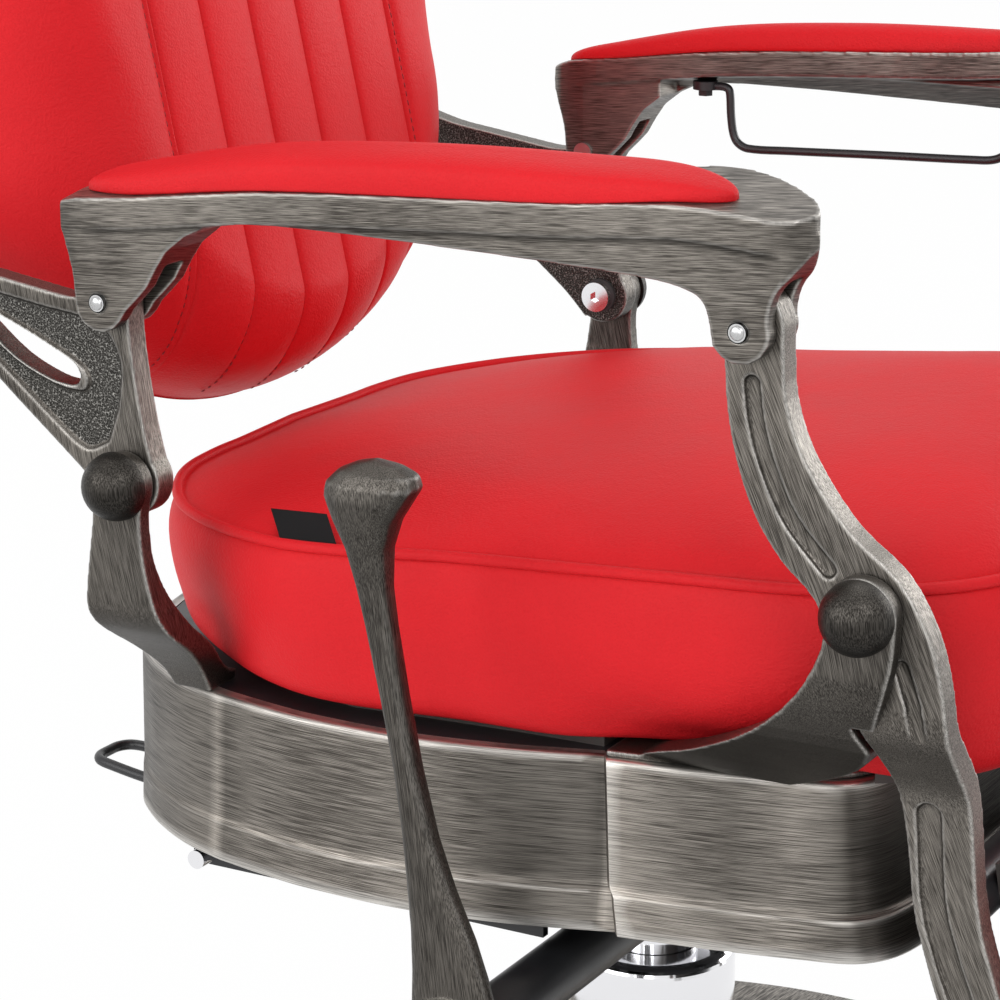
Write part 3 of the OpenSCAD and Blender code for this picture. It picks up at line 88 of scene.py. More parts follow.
class ChairLooks(bpy.types.PropertyGroup):
    vinyl: bpy.props.FloatVectorProperty(
        name="Vinyl", description="Colour of the upholstery", subtype="COLOR", size=3,
        default=(0.70, 0.016, 0.022), min=0, max=1)
    thread: bpy.props.FloatVectorProperty(
        name="Thread", description="Colour of the stitches", subtype="COLOR", size=3,
        default=(0.27, 0.003, 0.008), min=0, max=1)
    metal_light: bpy.props.FloatVectorProperty(
        name="Metal, rubbed", subtype="COLOR", size=3, default=(0.300, 0.274, 0.243), min=0, max=1,
        description="Colour of the castings where the brush rubbed them bright")
    metal_dark: bpy.props.FloatVectorProperty(
        name="Metal, patina", description="Colour of the castings between the brush strokes",
        subtype="COLOR", size=3, default=(0.052, 0.046, 0.040), min=0, max=1)
    edge: bpy.props.FloatVectorProperty(
        name="Metal, edges", description="Colour of the worn edges", subtype="COLOR", size=3,
        default=(0.60, 0.58, 0.55), min=0, max=1)
    grain: bpy.props.FloatProperty(
        name="Grain", description="Strength of the vinyl's grain", default=0.34, min=0, max=1)


class ChairSizes(bpy.types.PropertyGroup):
    welt: bpy.props.FloatProperty(
        name="Welt", description="Radius of the piping", default=0.0034, unit="LENGTH")
    stitch: bpy.props.FloatProperty(
        name="Stitch", description="Length of a stitch", default=0.0042, unit="LENGTH")
    pitch: bpy.props.FloatProperty(
        name="Pitch", description="Distance from stitch to stitch", default=0.0062, unit="LENGTH")
    channel: bpy.props.FloatProperty(
        name="Channel depth", description="Depth of the sewn channels", default=0.0052,
        unit="LENGTH")
    cell: bpy.props.FloatProperty(
        name="Casting detail", description="Size of the cells that the castings are rounded with",
        default=0.0011, unit="LENGTH")


# ---- Places and outlines ----

def at_hinge(x, y, z):
    """A point given in millimetres from the rear hinge axis."""
    return HINGE + Vector((x, y, z)) * 0.001


def leaning(x, u, v):
    """A point of the backrest: x across, u to its rear, v up along it, in millimetres."""
    c, s = math.cos(LEAN), math.sin(LEAN)
    return HINGE + Vector((x, u * c + v * s, -u * s + v * c)) * 0.001


def between(table, key):
    """Reads a table of (key, value) pairs, straight between its entries."""
    if key <= table[0][0]:
        return table[0][1]
    for (a, p), (b, q) in zip(table, table[1:]):
        if key <= b:
            return p + (q - p) * (key - a) / (b - a)
    return table[-1][1]


def smooth_line(points, steps=8):
    """A smooth line through points, as Vectors."""
    pts = [Vector(p) for p in points]
    last = len(pts) - 1

    def slope(i):
        a, b, c = pts[max(i - 1, 0)], pts[i], pts[min(i + 1, last)]
        return (c - a) / max((b - a).length + (c - b).length, 1e-9)

    out = []
    for i in range(last):
        size = (pts[i + 1] - pts[i]).length
        m, n = slope(i) * size, slope(i + 1) * size
        for k in range(steps):
            t = k / steps
            out.append((2 * t ** 3 - 3 * t ** 2 + 1) * pts[i] + (t ** 3 - 2 * t ** 2 + t) * m
                       + (3 * t ** 2 - 2 * t ** 3) * pts[i + 1] + (t ** 3 - t ** 2) * n)
    out.append(pts[-1])
    return out


def spaced(points, count, closed=False):
    """Count points at even distances along a line."""
    pts = list(points) + ([points[0]] if closed else [])
    length = [0.0]
    for a, b in zip(pts, pts[1:]):
        length.append(length[-1] + (b - a).length)
    out, j = [], 0
    for i in range(count):
        want = length[-1] * i / (count if closed else count - 1)
        while j < len(pts) - 2 and length[j + 1] < want:
            j += 1
        span = max(length[j + 1] - length[j], 1e-9)
        out.append(pts[j].lerp(pts[j + 1], min((want - length[j]) / span, 1.0)))
    return out


# ---- Making pieces ----

def finish(name, mesh, body, material, nodes=()):
    """Links a mesh as a piece that rides on a body."""
    obj = bpy.data.objects.new(name, mesh)
    bpy.context.scene.collection.objects.link(obj)
    mesh.materials.clear()
    mesh.materials.append(material)
    mesh.polygons.foreach_set("use_smooth", [True] * len(mesh.polygons))
    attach(obj, body)
    if nodes:
        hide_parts(*nodes)
    return obj


def to_bmesh(mesh):
    """A mesh as a bmesh, to be edited."""
    bm = bmesh.new()
    bm.from_mesh(mesh)
    return bm


def to_mesh(bm, name):
    """A new mesh from a bmesh, which is freed."""
    mesh = bpy.data.meshes.new(name)
    bm.to_mesh(mesh)
    bm.free()
    return mesh


def baked(obj):
    """Applies an object's modifiers and returns its mesh."""
    bpy.context.view_layer.update()
    graph = bpy.context.evaluated_depsgraph_get()
    mesh = bpy.data.meshes.new_from_object(obj.evaluated_get(graph))
    bpy.data.objects.remove(obj)
    return mesh


def spare(mesh):
    """A working object for a mesh."""
    obj = bpy.data.objects.new("spare", mesh)
    bpy.context.scene.collection.objects.link(obj)
    return obj


def node_copy(node):
    """A merged copy of a node's mesh."""
    bm = to_bmesh(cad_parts[node].data)
    bmesh.ops.remove_doubles(bm, verts=bm.verts, dist=1e-5)
    return to_mesh(bm, node)


def rounded(mesh, cell, passes):
    """A mesh rebuilt in even cells with its edges rounded."""
    obj = spare(mesh)
    edges = obj.modifiers.new("edges", "BEVEL")
    edges.limit_method = "ANGLE"
    edges.angle_limit = math.radians(35)
    edges.width = cell * 1.3
    edges.segments = 2
    cells = obj.modifiers.new("cells", "REMESH")
    cells.mode = "VOXEL"
    cells.voxel_size = cell
    cells.use_smooth_shade = True
    soften = obj.modifiers.new("soften", "SMOOTH")
    soften.factor = 0.5
    soften.iterations = passes
    return baked(obj)


def tube(points, radius, closed=True, sides=3):
    """A round cord along points, as a mesh."""
    data = bpy.data.curves.new("cord", "CURVE")
    data.dimensions = "3D"
    data.bevel_depth = radius
    data.bevel_resolution = sides
    data.use_fill_caps = not closed
    spline = data.splines.new("POLY")
    spline.points.add(len(points) - 1)
    for p, co in zip(spline.points, points):
        p.co = (co.x, co.y, co.z, 1.0)
    spline.use_cyclic_u = closed
    obj = bpy.data.objects.new("cord", data)
    bpy.context.scene.collection.objects.link(obj)
    mesh = baked(obj)
    bpy.data.curves.remove(data)
    return mesh


def loft(rings, close_start=True, close_end=True):
    """A skin over rings with equal counts of points."""
    bm = bmesh.new()
    around, along = len(rings[0]), len(rings) - 1
    made = bmesh.ops.create_grid(bm, x_segments=around, y_segments=along, size=0.5)["verts"]
    ends = ([], [])
    for v in made:
        i, j = round((v.co.x + 0.5) * around) % around, round((v.co.y + 0.5) * along)
        v.co = rings[j][i]
        if j in (0, along):
            ends[j > 0].append(v)
    bmesh.ops.remove_doubles(bm, verts=bm.verts, dist=MERGE)
    for wanted, end in ((close_start, ends[0]), (close_end, ends[1])):
        if wanted:
            rim = {e for v in end if v.is_valid for e in v.link_edges if e.is_boundary}
            bmesh.ops.holes_fill(bm, edges=list(rim))
    bmesh.ops.recalc_face_normals(bm, faces=bm.faces)
    return to_mesh(bm, "loft")


def stitches(lines, length, pitch, thick):
    """Thread dashes along lines of (point, normal) pairs, as a mesh."""
    bm = bmesh.new()
    for line in lines:
        run, next_at = 0.0, pitch * 0.5
        for (a, na), (b, nb) in zip(line, line[1:]):
            step = (b - a).length
            while run + step >= next_at:
                t = (next_at - run) / max(step, 1e-9)
                spot, up = a.lerp(b, t), na.lerp(nb, t).normalized()
                along = (b - a).normalized()
                side = up.cross(along).normalized()
                turn = Matrix((along, side, up)).transposed().to_4x4()
                turn.translation = spot
                made = bmesh.ops.create_icosphere(bm, subdivisions=1, radius=0.5)["verts"]
                bmesh.ops.transform(
                    bm, verts=made, matrix=turn @ Matrix.Diagonal((length, thick, thick * 0.9, 1)))
                next_at += pitch
            run += step
    return to_mesh(bm, "stitches")


# ---- Materials ----

class Maker:
    """A short way to write a material's nodes."""

    def __init__(self, name):
        self.mat = bpy.data.materials.new(name)
        self.mat.use_nodes = True
        self.tree = self.mat.node_tree
        self.tree.nodes.clear()
        self.out = self.add("ShaderNodeOutputMaterial")
        self.skin = self.add("ShaderNodeBsdfPrincipled")
        self.link(self.skin.outputs[0], self.out.inputs[0])
        self.place = self.add("ShaderNodeTexCoord").outputs["Object"]

    def add(self, kind, **values):
        node = self.tree.nodes.new(kind)
        for key, value in values.items():
            setattr(node, key, value)
        return node

    def link(self, a, b):
        self.tree.links.new(a, b)

    def mapped(self, scale, turn=(0, 0, 0), shift=(0, 0, 0)):
        node = self.add("ShaderNodeMapping", vector_type="TEXTURE")
        node.inputs["Scale"].default_value = [1.0 / c for c in scale]
        node.inputs["Rotation"].default_value = turn
        node.inputs["Location"].default_value = shift
        self.link(self.place, node.inputs["Vector"])
        return node.outputs[0]

    def noise(self, vector, scale, detail=3.0, rough=0.5, warp=0.0):
        node = self.add("ShaderNodeTexNoise")
        node.inputs["Scale"].default_value = scale
        node.inputs["Detail"].default_value = detail
        node.inputs["Roughness"].default_value = rough
        node.inputs["Distortion"].default_value = warp
        self.link(vector, node.inputs["Vector"])
        return node.outputs["Fac"]

    def cells(self, vector, scale):
        node = self.add("ShaderNodeTexVoronoi", feature="F1")
        node.inputs["Scale"].default_value = scale
        self.link(vector, node.inputs["Vector"])
        return node.outputs["Distance"]

    def ramp(self, value, stops):
        node = self.add("ShaderNodeValToRGB")
        elements = node.color_ramp.elements
        elements.remove(elements[-1])
        for i, (at, colour) in enumerate(sorted(stops)):
            element = elements.new(at) if i else elements[0]
            element.position = at
            element.color = (*colour, 1.0) if len(colour) == 3 else colour
        self.link(value, node.inputs[0])
        return node.outputs[0]

    def math(self, operation, a, b=None):
        node = self.add("ShaderNodeMath", operation=operation)
        for socket, value in zip(node.inputs, (a, b)):
            if value is None:
                continue
            if isinstance(value, (int, float)):
                socket.default_value = value
            else:
                self.link(value, socket)
        return node.outputs[0]

    def range(self, value, a, b, c, d):
        node = self.add("ShaderNodeMapRange")
        for key, number in zip(("From Min", "From Max", "To Min", "To Max"), (a, b, c, d)):
            node.inputs[key].default_value = number
        self.link(value, node.inputs["Value"])
        return node.outputs[0]

    def grey(self, value):
        node = self.add("ShaderNodeCombineColor")
        for socket in node.inputs:
            self.link(value, socket)
        return node.outputs[0]

    def mix(self, share, a, b, blend="MIX"):
        node = self.add("ShaderNodeMix", data_type="RGBA", blend_type=blend)
        sockets = [s for s in node.inputs if s.type == "RGBA"]
        factor = node.inputs[0]
        if isinstance(share, (int, float)):
            factor.default_value = share
        else:
            self.link(share, factor)
        for socket, value in zip(sockets, (a, b)):
            if isinstance(value, (tuple, list)):
                socket.default_value = (*value[:3], 1.0)
            else:
                self.link(value, socket)
        return [s for s in node.outputs if s.type == "RGBA"][0]

    def bump(self, height, strength, distance, under=None):
        node = self.add("ShaderNodeBump")
        node.inputs["Strength"].default_value = strength
        node.inputs["Distance"].default_value = distance
        self.link(height, node.inputs["Height"])
        if under is not None:
            self.link(under, node.inputs["Normal"])
        return node.outputs[0]

    def set(self, **values):
        names = {"colour": "Base Color", "metal": "Metallic", "rough": "Roughness",
                 "normal": "Normal", "specular": "Specular IOR Level"}
        for key, value in values.items():
            socket = self.skin.inputs[names[key]]
            if isinstance(value, (int, float)):
                socket.default_value = value
            elif isinstance(value, (tuple, list)):
                socket.default_value = (*value[:3], 1.0)
            else:
                self.link(value, socket)
        return self.mat


def vinyl(looks):
    """Upholstery vinyl with a fine pebbled grain and soft wrinkles."""
    m = Maker("vinyl")
    colour = tuple(looks.vinyl)
    slow = m.noise(m.place, 9.0, 4.0, 0.55)
    tint = m.ramp(slow, [(0.30, tuple(c * 0.90 for c in colour)), (0.70, colour)])
    pebble = m.cells(m.place, 620.0)
    fine = m.noise(m.place, 900.0, 3.0, 0.6)
    crease = m.noise(m.mapped((1.0, 1.0, 1.6)), 95.0, 5.0, 0.62, 1.2)
    wave = m.noise(m.place, 17.0, 2.0, 0.5)
    pores = m.range(pebble, 0.0, 0.55, 0.82, 1.0)
    shade = m.ramp(pores, [(0.0, (0.72, 0.72, 0.72)), (1.0, (1, 1, 1))])
    worn = m.mix(1.0, tint, shade, "MULTIPLY")
    first = m.bump(wave, 0.10, 0.004)
    second = m.bump(crease, 0.42, 0.0012, first)
    third = m.bump(pebble, looks.grain, 0.0006, second)
    last = m.bump(fine, 0.10, 0.0004, third)
    rough = m.range(m.math("ADD", slow, fine), 0.6, 1.4, 0.45, 0.57)
    return m.set(colour=worn, rough=rough, normal=last, specular=0.13)


def thread(looks):
    """Sewing thread, twisted along its length."""
    m = Maker("thread")
    twist = m.noise(m.place, 2600.0, 2.0, 0.5)
    colour = m.ramp(twist, [(0.35, tuple(c * 0.7 for c in looks.thread)),
                            (0.7, tuple(min(c * 1.25, 1) for c in looks.thread))])
    return m.set(colour=colour, rough=0.6, normal=m.bump(twist, 0.3, 0.0002))


def antique(looks, name, across, along, axis, turn=(0, 0, 0), tone=1.0, painted_light=None, wear=1.0,
            recess=None):
    """Cast metal with a dark patina, brushed in hairlines and worn on its edges, with patina and
    painted shade in its hollows, painted shade on its undersides and a painted highlight on its
    tops.

    The faces that look sideways closer to the middle than recess are left as cast.
    """
    m = Maker(name)
    light = tuple(c * tone for c in looks.metal_light)
    dark = tuple(c * tone for c in looks.metal_dark)
    scale = [across] * 3
    for i in axis:
        scale[i] = along
    hair = m.noise(m.mapped(scale, turn), 1.0, 3.0, 0.55, 0.1)
    streak = m.noise(m.mapped([c * 0.5 for c in scale], turn, (3.1, 1.7, 0.4)), 1.0, 3.0, 0.55)
    cloud = m.noise(m.place, 8.0, 3.0, 0.5)
    strokes = m.math("ADD", m.math("MULTIPLY", hair, 0.74), m.math("MULTIPLY", streak, 0.26))
    strokes = m.math("ADD", strokes, m.range(cloud, 0.3, 0.7, -0.06, 0.06))
    colour = m.ramp(strokes, [(0.40, dark), (0.63, light)])
    shape = m.add("ShaderNodeNewGeometry")
    point = shape.outputs["Pointiness"]
    facing = m.add("ShaderNodeSeparateXYZ")
    m.link(shape.outputs["Normal"], facing.inputs[0])
    # darker in the hollows: patina together with painted shade; painted shade on the undersides
    # and a painted highlight on the tops
    hollow_patina_and_shade = m.range(point, 0.42, 0.496, 0.30, 1.0)
    under = m.range(facing.outputs[2], -0.75, 0.45, 0.42, 1.12)
    shade = m.math("MULTIPLY", hollow_patina_and_shade, under)
    # painted light, such as the seat frame's painted reflections, darkens and lightens the colour
    # here
    if painted_light is not None:
        shade = m.math("MULTIPLY", shade, painted_light(m))
    colour = m.mix(1.0, colour, m.grey(shade), "MULTIPLY")
    worn = m.math("MULTIPLY", m.range(point, 0.509, 0.545, 0.0, 0.70 * wear),
                  m.range(hair, 0.38, 0.60, 0.45, 1.0))
    colour = m.mix(worn, colour, tuple(c * (0.5 + 0.5 * tone) for c in looks.edge))
    rough = m.range(strokes, 0.3, 0.7, 0.50, 0.34)
    normal = m.bump(hair, 0.30, 0.0003)
    if recess:
        apart = m.add("ShaderNodeSeparateXYZ")
        m.link(m.place, apart.inputs[0])
        deep = m.range(m.math("ABSOLUTE", apart.outputs[0]), recess, recess + 0.001, 1.0, 0.0)
        flat = m.range(m.math("ABSOLUTE", facing.outputs[0]), 0.86, 0.97, 0.0, 1.0)
        inside = m.math("MULTIPLY", deep, flat)
        sand = m.noise(m.place, 1050.0, 2.0, 0.55)
        pebble = m.cells(m.place, 860.0)
        grit = m.math("ADD", m.math("MULTIPLY", sand, 0.62), m.math("MULTIPLY", pebble, 0.52))
        sandy = m.ramp(grit, [(0.40, (0.017, 0.016, 0.014)), (0.62, (0.060, 0.057, 0.052)),
                              (0.84, (0.30, 0.29, 0.27))])
        colour = m.mix(inside, colour, sandy)
        normal = m.bump(m.math("MULTIPLY", grit, inside), 0.6, 0.0009, normal)
    return m.set(colour=colour, metal=0.93, rough=rough, normal=normal)


def painted_frame_reflections(m):
    """Painted reflections and highlights: light and dark patches beside the upright creases of the
    seat frame and at its corners.
    """
    apart = m.add("ShaderNodeSeparateXYZ")
    m.link(m.place, apart.inputs[0])
    along = m.range(apart.outputs[1], -0.30, 0.34, 0.0, 1.0)
    reflection_tones = [(0.0, 0.62), (1.0, 0.42), (0.105, 0.55), (0.15, 1.10), (0.20, 0.72), (0.275, 1.05),
             (0.317, 1.45), (0.325, 0.50), (0.385, 0.52), (0.46, 0.98), (0.60, 1.12), (0.68, 0.92),
             (0.712, 0.70), (0.722, 1.50), (0.735, 0.78), (0.80, 0.62)]
    return m.ramp(along, [(at, (tone * 0.6,) * 3) for at, tone in reflection_tones])


def chrome(name="chrome", tone=0.62, rough=0.10):
    """Bright plating with faint smears and hairline scratches."""
    m = Maker(name)
    smear = m.noise(m.place, 60.0, 4.0, 0.6)
    scratch = m.noise(m.mapped((900.0, 900.0, 30.0)), 1.0, 2.0, 0.5)
    colour = m.ramp(smear, [(0.3, (tone * 0.93,) * 3), (0.7, (tone, tone, tone * 1.01))])
    return m.set(colour=colour, metal=1.0, rough=m.range(smear, 0.3, 0.7, rough, rough + 0.07),
                 normal=m.bump(scratch, 0.03, 0.0002))


def painted(name, colour, rough, grain=420.0, strength=0.12):
    """Satin paint over sheet metal, with a slight orange peel."""
    m = Maker(name)
    peel = m.noise(m.place, grain, 2.0, 0.5)
    dust = m.noise(m.place, 26.0, 4.0, 0.6)
    tint = m.ramp(dust, [(0.35, tuple(c * 0.8 for c in colour)),
                         (0.7, tuple(c * 1.25 for c in colour))])
    return m.set(colour=tint, rough=m.range(dust, 0.3, 0.7, rough - 0.05, rough + 0.07),
                 normal=m.bump(peel, strength, 0.0004), specular=0.5)


def plywood():
    """Board with a black stain and a faint grain."""
    m = Maker("board")
    rings = m.noise(m.mapped((18.0, 260.0, 260.0)), 1.0, 4.0, 0.6, 0.6)
    colour = m.ramp(rings, [(0.3, (0.012, 0.011, 0.010)), (0.7, (0.045, 0.040, 0.036))])
    return m.set(colour=colour, rough=0.62, normal=m.bump(rings, 0.25, 0.0006))


def woven():
    """Black woven ribbon."""
    m = Maker("ribbon")
    weave = m.add("ShaderNodeTexWave", wave_type="BANDS", bands_direction="DIAGONAL")
    weave.inputs["Scale"].default_value = 420.0
    weave.inputs["Distortion"].default_value = 1.0
    m.link(m.place, weave.inputs["Vector"])
    fuzz = m.noise(m.place, 1500.0, 3.0, 0.6)
    colour = m.ramp(weave.outputs["Fac"], [(0.2, (0.004, 0.004, 0.004)),
                                           (0.8, (0.016, 0.016, 0.017))])
    return m.set(colour=colour, rough=0.85, specular=0.15,
                 normal=m.bump(m.math("ADD", weave.outputs["Fac"], fuzz), 0.4, 0.0003))


def palette():
    """The finishes, made once and found again by name."""
    looks = bpy.context.scene.chair_looks
    tilt = math.radians
    makers = {
        "vinyl": lambda: vinyl(looks),
        "thread": lambda: thread(looks),
        "cast_arm": lambda: antique(looks, "cast_arm", 3300.0, 60.0, (0, 1),
                                    (tilt(-4), tilt(9), 0)),
        "cast_lever": lambda: antique(looks, "cast_lever", 3200.0, 66.0, (2,), (tilt(-24), 0, 0)),
        "cast_hand": lambda: antique(looks, "cast_hand", 3100.0, 70.0, (2,), (tilt(-8), 0, 0),
                                     0.52),
        "cast_back": lambda: antique(looks, "cast_back", 2800.0, 80.0, (2,), (tilt(-10), 0, 0),
                                     0.85, recess=0.3070),
        # the seat frame gets painted reflections and highlights beside its creases and at its
        # corners
        "cast_frame": lambda: antique(looks, "cast_frame", 3300.0, 36.0, (0, 1), (0, 0, 0), 2.1,
                                      painted_frame_reflections),
        "cast_bracket": lambda: antique(looks, "cast_bracket", 2900.0, 66.0, (2,),
                                        (tilt(-14), 0, 0), 0.62),
        "cast_cap": lambda: antique(looks, "cast_cap", 2300.0, 50.0, (2,), (tilt(-6), 0, 0), 0.30,
                                    wear=0.0),
        "cast_plate": lambda: antique(looks, "cast_plate", 900.0, 18.0, (0,)),
        "chrome": chrome,
        "pin_chrome": lambda: chrome("pin_chrome", 0.52, 0.24),
        "zinc": lambda: chrome("zinc", 0.55, 0.28),
        "black": lambda: painted("black", (0.016, 0.016, 0.018), 0.38),
        "black_iron": lambda: painted("black_iron", (0.020, 0.020, 0.021), 0.50, 260.0, 0.3),
        "rubber": lambda: painted("rubber", (0.012, 0.012, 0.012), 0.75, 700.0, 0.25),
        "nylon": lambda: painted("nylon", (0.010, 0.010, 0.011), 0.42, 900.0, 0.1),
        "board": plywood,
        "ribbon": woven,
    }
    for name, make in makers.items():
        if name not in bpy.data.materials:
            make()
    return bpy.data.materials


# ---- Seat ----

def seat_outline(count):
    """Points round the seat at its welt."""
    half = smooth_line([(x, y, 0) for x, y in SEAT_HALF])
    other = [Vector((-p.x, p.y, 0)) for p in reversed(half[1:-1])]
    return spaced(half + other, count, closed=True)


def welt_height(y):
    """Height of the welt, which sinks to the rear."""
    return -27.2 - 0.05 * (y + 200.0)


def crown_height(y):
    """Height of the crown over the welt."""
    return 36.2 * (1.0 - 0.72 * (y + 230.0) / 300.0)


# Side of the seat: share of its height, distance drawn in, pinch beside the rear and the
# front brackets
SEAT_SIDE = [(0.00, 17.0, 4.0, 27.0), (0.03, 11.0, 6.0, 29.0), (0.09, 6.0, 10.0, 30.0),
             (0.16, 3.0, 12.5, 20.0), (0.25, 1.0, 14.0, 10.0), (0.36, -1.6, 12.0, 3.0),
             (0.50, -3.8, 8.0, 0.0), (0.64, -4.6, 4.0, 0.0), (0.78, -4.0, 1.0, 0.0),
             (0.88, -2.2, 0.0, 0.0), (0.94, -0.2, 0.0, 0.0), (0.975, 2.0, 0.0, 0.0),
             (1.00, 3.4, 0.0, 0.0)]
# Crown: distance drawn in and share of the crown's height
SEAT_CROWN = [(4.6, 0.03), (5.4, -0.01), (6.2, 0.02), (7.6, 0.085), (9.6, 0.128), (13.0, 0.20),
              (18.0, 0.29), (26.0, 0.40), (38.0, 0.52), (56.0, 0.66), (80.0, 0.78), (108.0, 0.87),
              (138.0, 0.935), (170.0, 0.97), (205.0, 0.992), (238.0, 1.0), (262.0, 1.0),
              (280.0, 1.0)]
# Places of the pinches beside the brackets, and how far each reaches along the seat
REAR_PINCH, REAR_REACH, FRONT_PINCH, FRONT_REACH = -5.0, 44.0, -376.0, 92.0


def seat_point(p, drawn, share, crown, pinch, front_pinch):
    """A point of the seat, from the outline's point and a row of the tables above."""
    mid = (SEAT_REAR + SEAT_FRONT) / 2.0
    near = drawn / SEAT_W
    sx, sy = 1.0 - near, 1.0 - near * (0.927 + 0.073 * near ** 2)
    q = pinch * math.exp(-((p.y - REAR_PINCH) / REAR_REACH) ** 2)
    q += front_pinch * math.exp(-((p.y - FRONT_PINCH) / FRONT_REACH) ** 4)
    side = 1.0 if p.x > 0 else -1.0
    y = mid + sy * (p.y - mid)
    z = SEAT_LOW + share * (welt_height(y) - SEAT_LOW) + crown * crown_height(y)
    return sx * p.x - side * q * min(abs(p.x) / 60.0, 1.0), y, z


# Height of the soft waves in the seat's side, in metres
WAVE = 0.0016


class CHAIR_OT_seat(bpy.types.Operator):
    """Seat cushion with its welt and its sewn edge"""
    bl_idname = "chair.seat"
    bl_label = "Seat cushion"

    def execute(self, context):
        mats, sizes = palette(), context.scene.chair_sizes
        outline = seat_outline(216)
        rings = []
        for share, drawn, q, g in SEAT_SIDE:
            rings.append([at_hinge(*seat_point(p, drawn, share, 0.0, q, g)) for p in outline])
        for drawn, crown in SEAT_CROWN:
            rings.append([at_hinge(*seat_point(p, drawn, 1.0, crown, 0.0, 0.0)) for p in outline])
        seat = spare(loft(rings, close_start=False, close_end=False))
        fine = seat.modifiers.new("fine", "SUBSURF")
        fine.levels = fine.render_levels = 1
        bm = to_bmesh(baked(seat))
        bmesh.ops.holes_fill(bm, edges=[e for e in bm.edges if e.is_boundary])
        bmesh.ops.recalc_face_normals(bm, faces=bm.faces)
        mesh = to_mesh(bm, "seat")
        # soft waves of the stretched cover over the side
        normals = [v.normal.copy() for v in mesh.vertices]
        for v, normal in zip(mesh.vertices, normals):
            height = (v.co.z - HINGE.z) * 1000.0
            band = math.exp(-((height + 84.0) / 34.0) ** 2)
            wave = noise.noise(Vector((v.co.x * 13, v.co.y * 13, v.co.z * 30)))
            v.co += normal * wave * WAVE * band
        seat = finish("seat_cover", mesh, "seat", mats["vinyl"], ("seat_cushion",))
        welt = []
        for p in seat_outline(300):
            x, y, z = seat_point(p, 1.6, 1.0, 0.0, 0.0, 0.0)
            welt.append(at_hinge(x, y, z + 0.6))
        cord = finish("seat_welt", tube(welt, sizes.welt), "seat", mats["vinyl"])
        for piece in (seat, cord):
            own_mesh(piece)
        return {"FINISHED"}


class CHAIR_OT_label(bpy.types.Operator):
    """Bare woven tag sewn into the seat's welt"""
    bl_idname = "chair.label"
    bl_label = "Tag"

    def execute(self, context):
        bm = bmesh.new()
        made = bmesh.ops.create_grid(bm, x_segments=14, y_segments=20, size=0.5)["verts"]
        low = at_hinge(-282.6, -127, -28.2)
        along, across = Vector((0.0006, 0.0394, -0.0020)), Vector((0.0184, 0.0174, 0.0100))
        up = across.cross(along).normalized()
        up = up if up.z > 0 else -up
        for v in made:
            a, b = v.co.x + 0.5, v.co.y + 0.5
            v.co = low + across * a + along * b + up * (
                0.0009 * math.sin(a * 3.1) * math.sin(b * 5.0) + 0.0016 + 0.0012 * a)
        bmesh.ops.solidify(bm, geom=bm.faces[:], thickness=0.0007)
        bmesh.ops.recalc_face_normals(bm, faces=bm.faces)
        finish("seat_tag", to_mesh(bm, "tag"), "seat", palette()["ribbon"], ("label_tag",))
        return {"FINISHED"}


# ---- Backrest ----

def eased(t):
    """A soft step from 0 to 1."""
    t = min(max(t, 0.0), 1.0)
    return t * t * (3.0 - 2.0 * t)


def back_columns():
    """Places across the backrest, close together beside its seams."""
    near = [0.0, 0.7, 1.5, 2.6, 4.2, 6.6, 10.0, 14.5, 20.5]
    panel = [0.0, 0.7, 1.5, 2.3, 3.1, 4.0, 5.0, 6.2, 7.6, 9.4, 12.0, 16.0, 22.0, 30.0, 40.0, 50.0,
             60.0, 70.0, 79.0, 87.0, 94.0, 100.0, 105.0, 109.0, 112.0, 114.0, 115.0]
    half = [0.0]
    for a, b in zip([0.0] + CHANNELS[3:-1], CHANNELS[3:]):
        if a > 0:
            half += [a + d for d in near]
        half += [b - d for d in reversed(near[1:])]
    half += [SEAM + d for d in panel]
    return [-x for x in reversed(half[1:])] + half


def back_edge(x, v):
    """Nearness of a point of the backrest to its edge, in millimetres."""
    mid = BACK_LOW + BACK_ROUND
    if v < mid:
        return (1.0 - math.hypot(x / BACK_W, (mid - v) / BACK_ROUND)) * BACK_ROUND
    over, rise = abs(x) - BACK_W + BACK_CORNER, v - BACK_TOP + BACK_CORNER
    if over > 0 and rise > 0:
        return BACK_CORNER - math.hypot(over, rise)
    share = BACK_ROUND / BACK_W
    share += (1.0 - share) * eased((v - mid) / 120.0)
    return min((BACK_W - abs(x)) * share, BACK_TOP - v)


def back_front(x, v, depth):
    """How far behind its foremost plane the front of the backrest lies."""
    edge = max(back_edge(x, v), 0.0)
    k = min(edge / (65.0 - 5.0 * eased((v - 200.0) / 160.0)), 1.0)
    u = BACK_EDGE - (BACK_EDGE - BACK_FRONT) * math.sqrt(max(1.0 - (1.0 - k) ** 1.5, 0.0))
    near = min(abs(x - c) for c in CHANNELS)
    fade = min(edge / 26.0, 1.0)
    if abs(x) <= SEAM:
        far = 1.0 - min(near / HALF_CHANNEL, 1.0)
        pillow = depth * (1.0 - math.sqrt(max(1.0 - far ** 2.0, 0.0)))
        u += fade * (pillow * 0.9 + 1.3 * math.exp(-(near / 1.3) ** 2))
    else:
        lap = abs(x) - SEAM
        u += fade * (depth * 0.9 * math.exp(-(lap / 9.0) ** 2) + 1.3 * math.exp(-(lap / 1.0) ** 2)
                     - 2.3 * math.exp(-((lap - 2.9) / 1.7) ** 2)
                     + 0.9 * math.exp(-((lap - TOPSTITCH) / 1.2) ** 2))
    return u


def back_height(x, t):
    """Height of the backrest at x, at the share t from its lower to its upper edge."""
    s = min(abs(x) / BACK_W, 1.0)
    over = max(abs(x) - BACK_W + BACK_CORNER, 0.0)
    low = BACK_LOW + BACK_ROUND * (1.0 - math.sqrt(1.0 - s * s))
    high = BACK_TOP - BACK_CORNER + math.sqrt(max(BACK_CORNER ** 2 - over ** 2, 0.0))
    return low + (high - low) * t


# Steps along each line of stitches
STEPS = 259


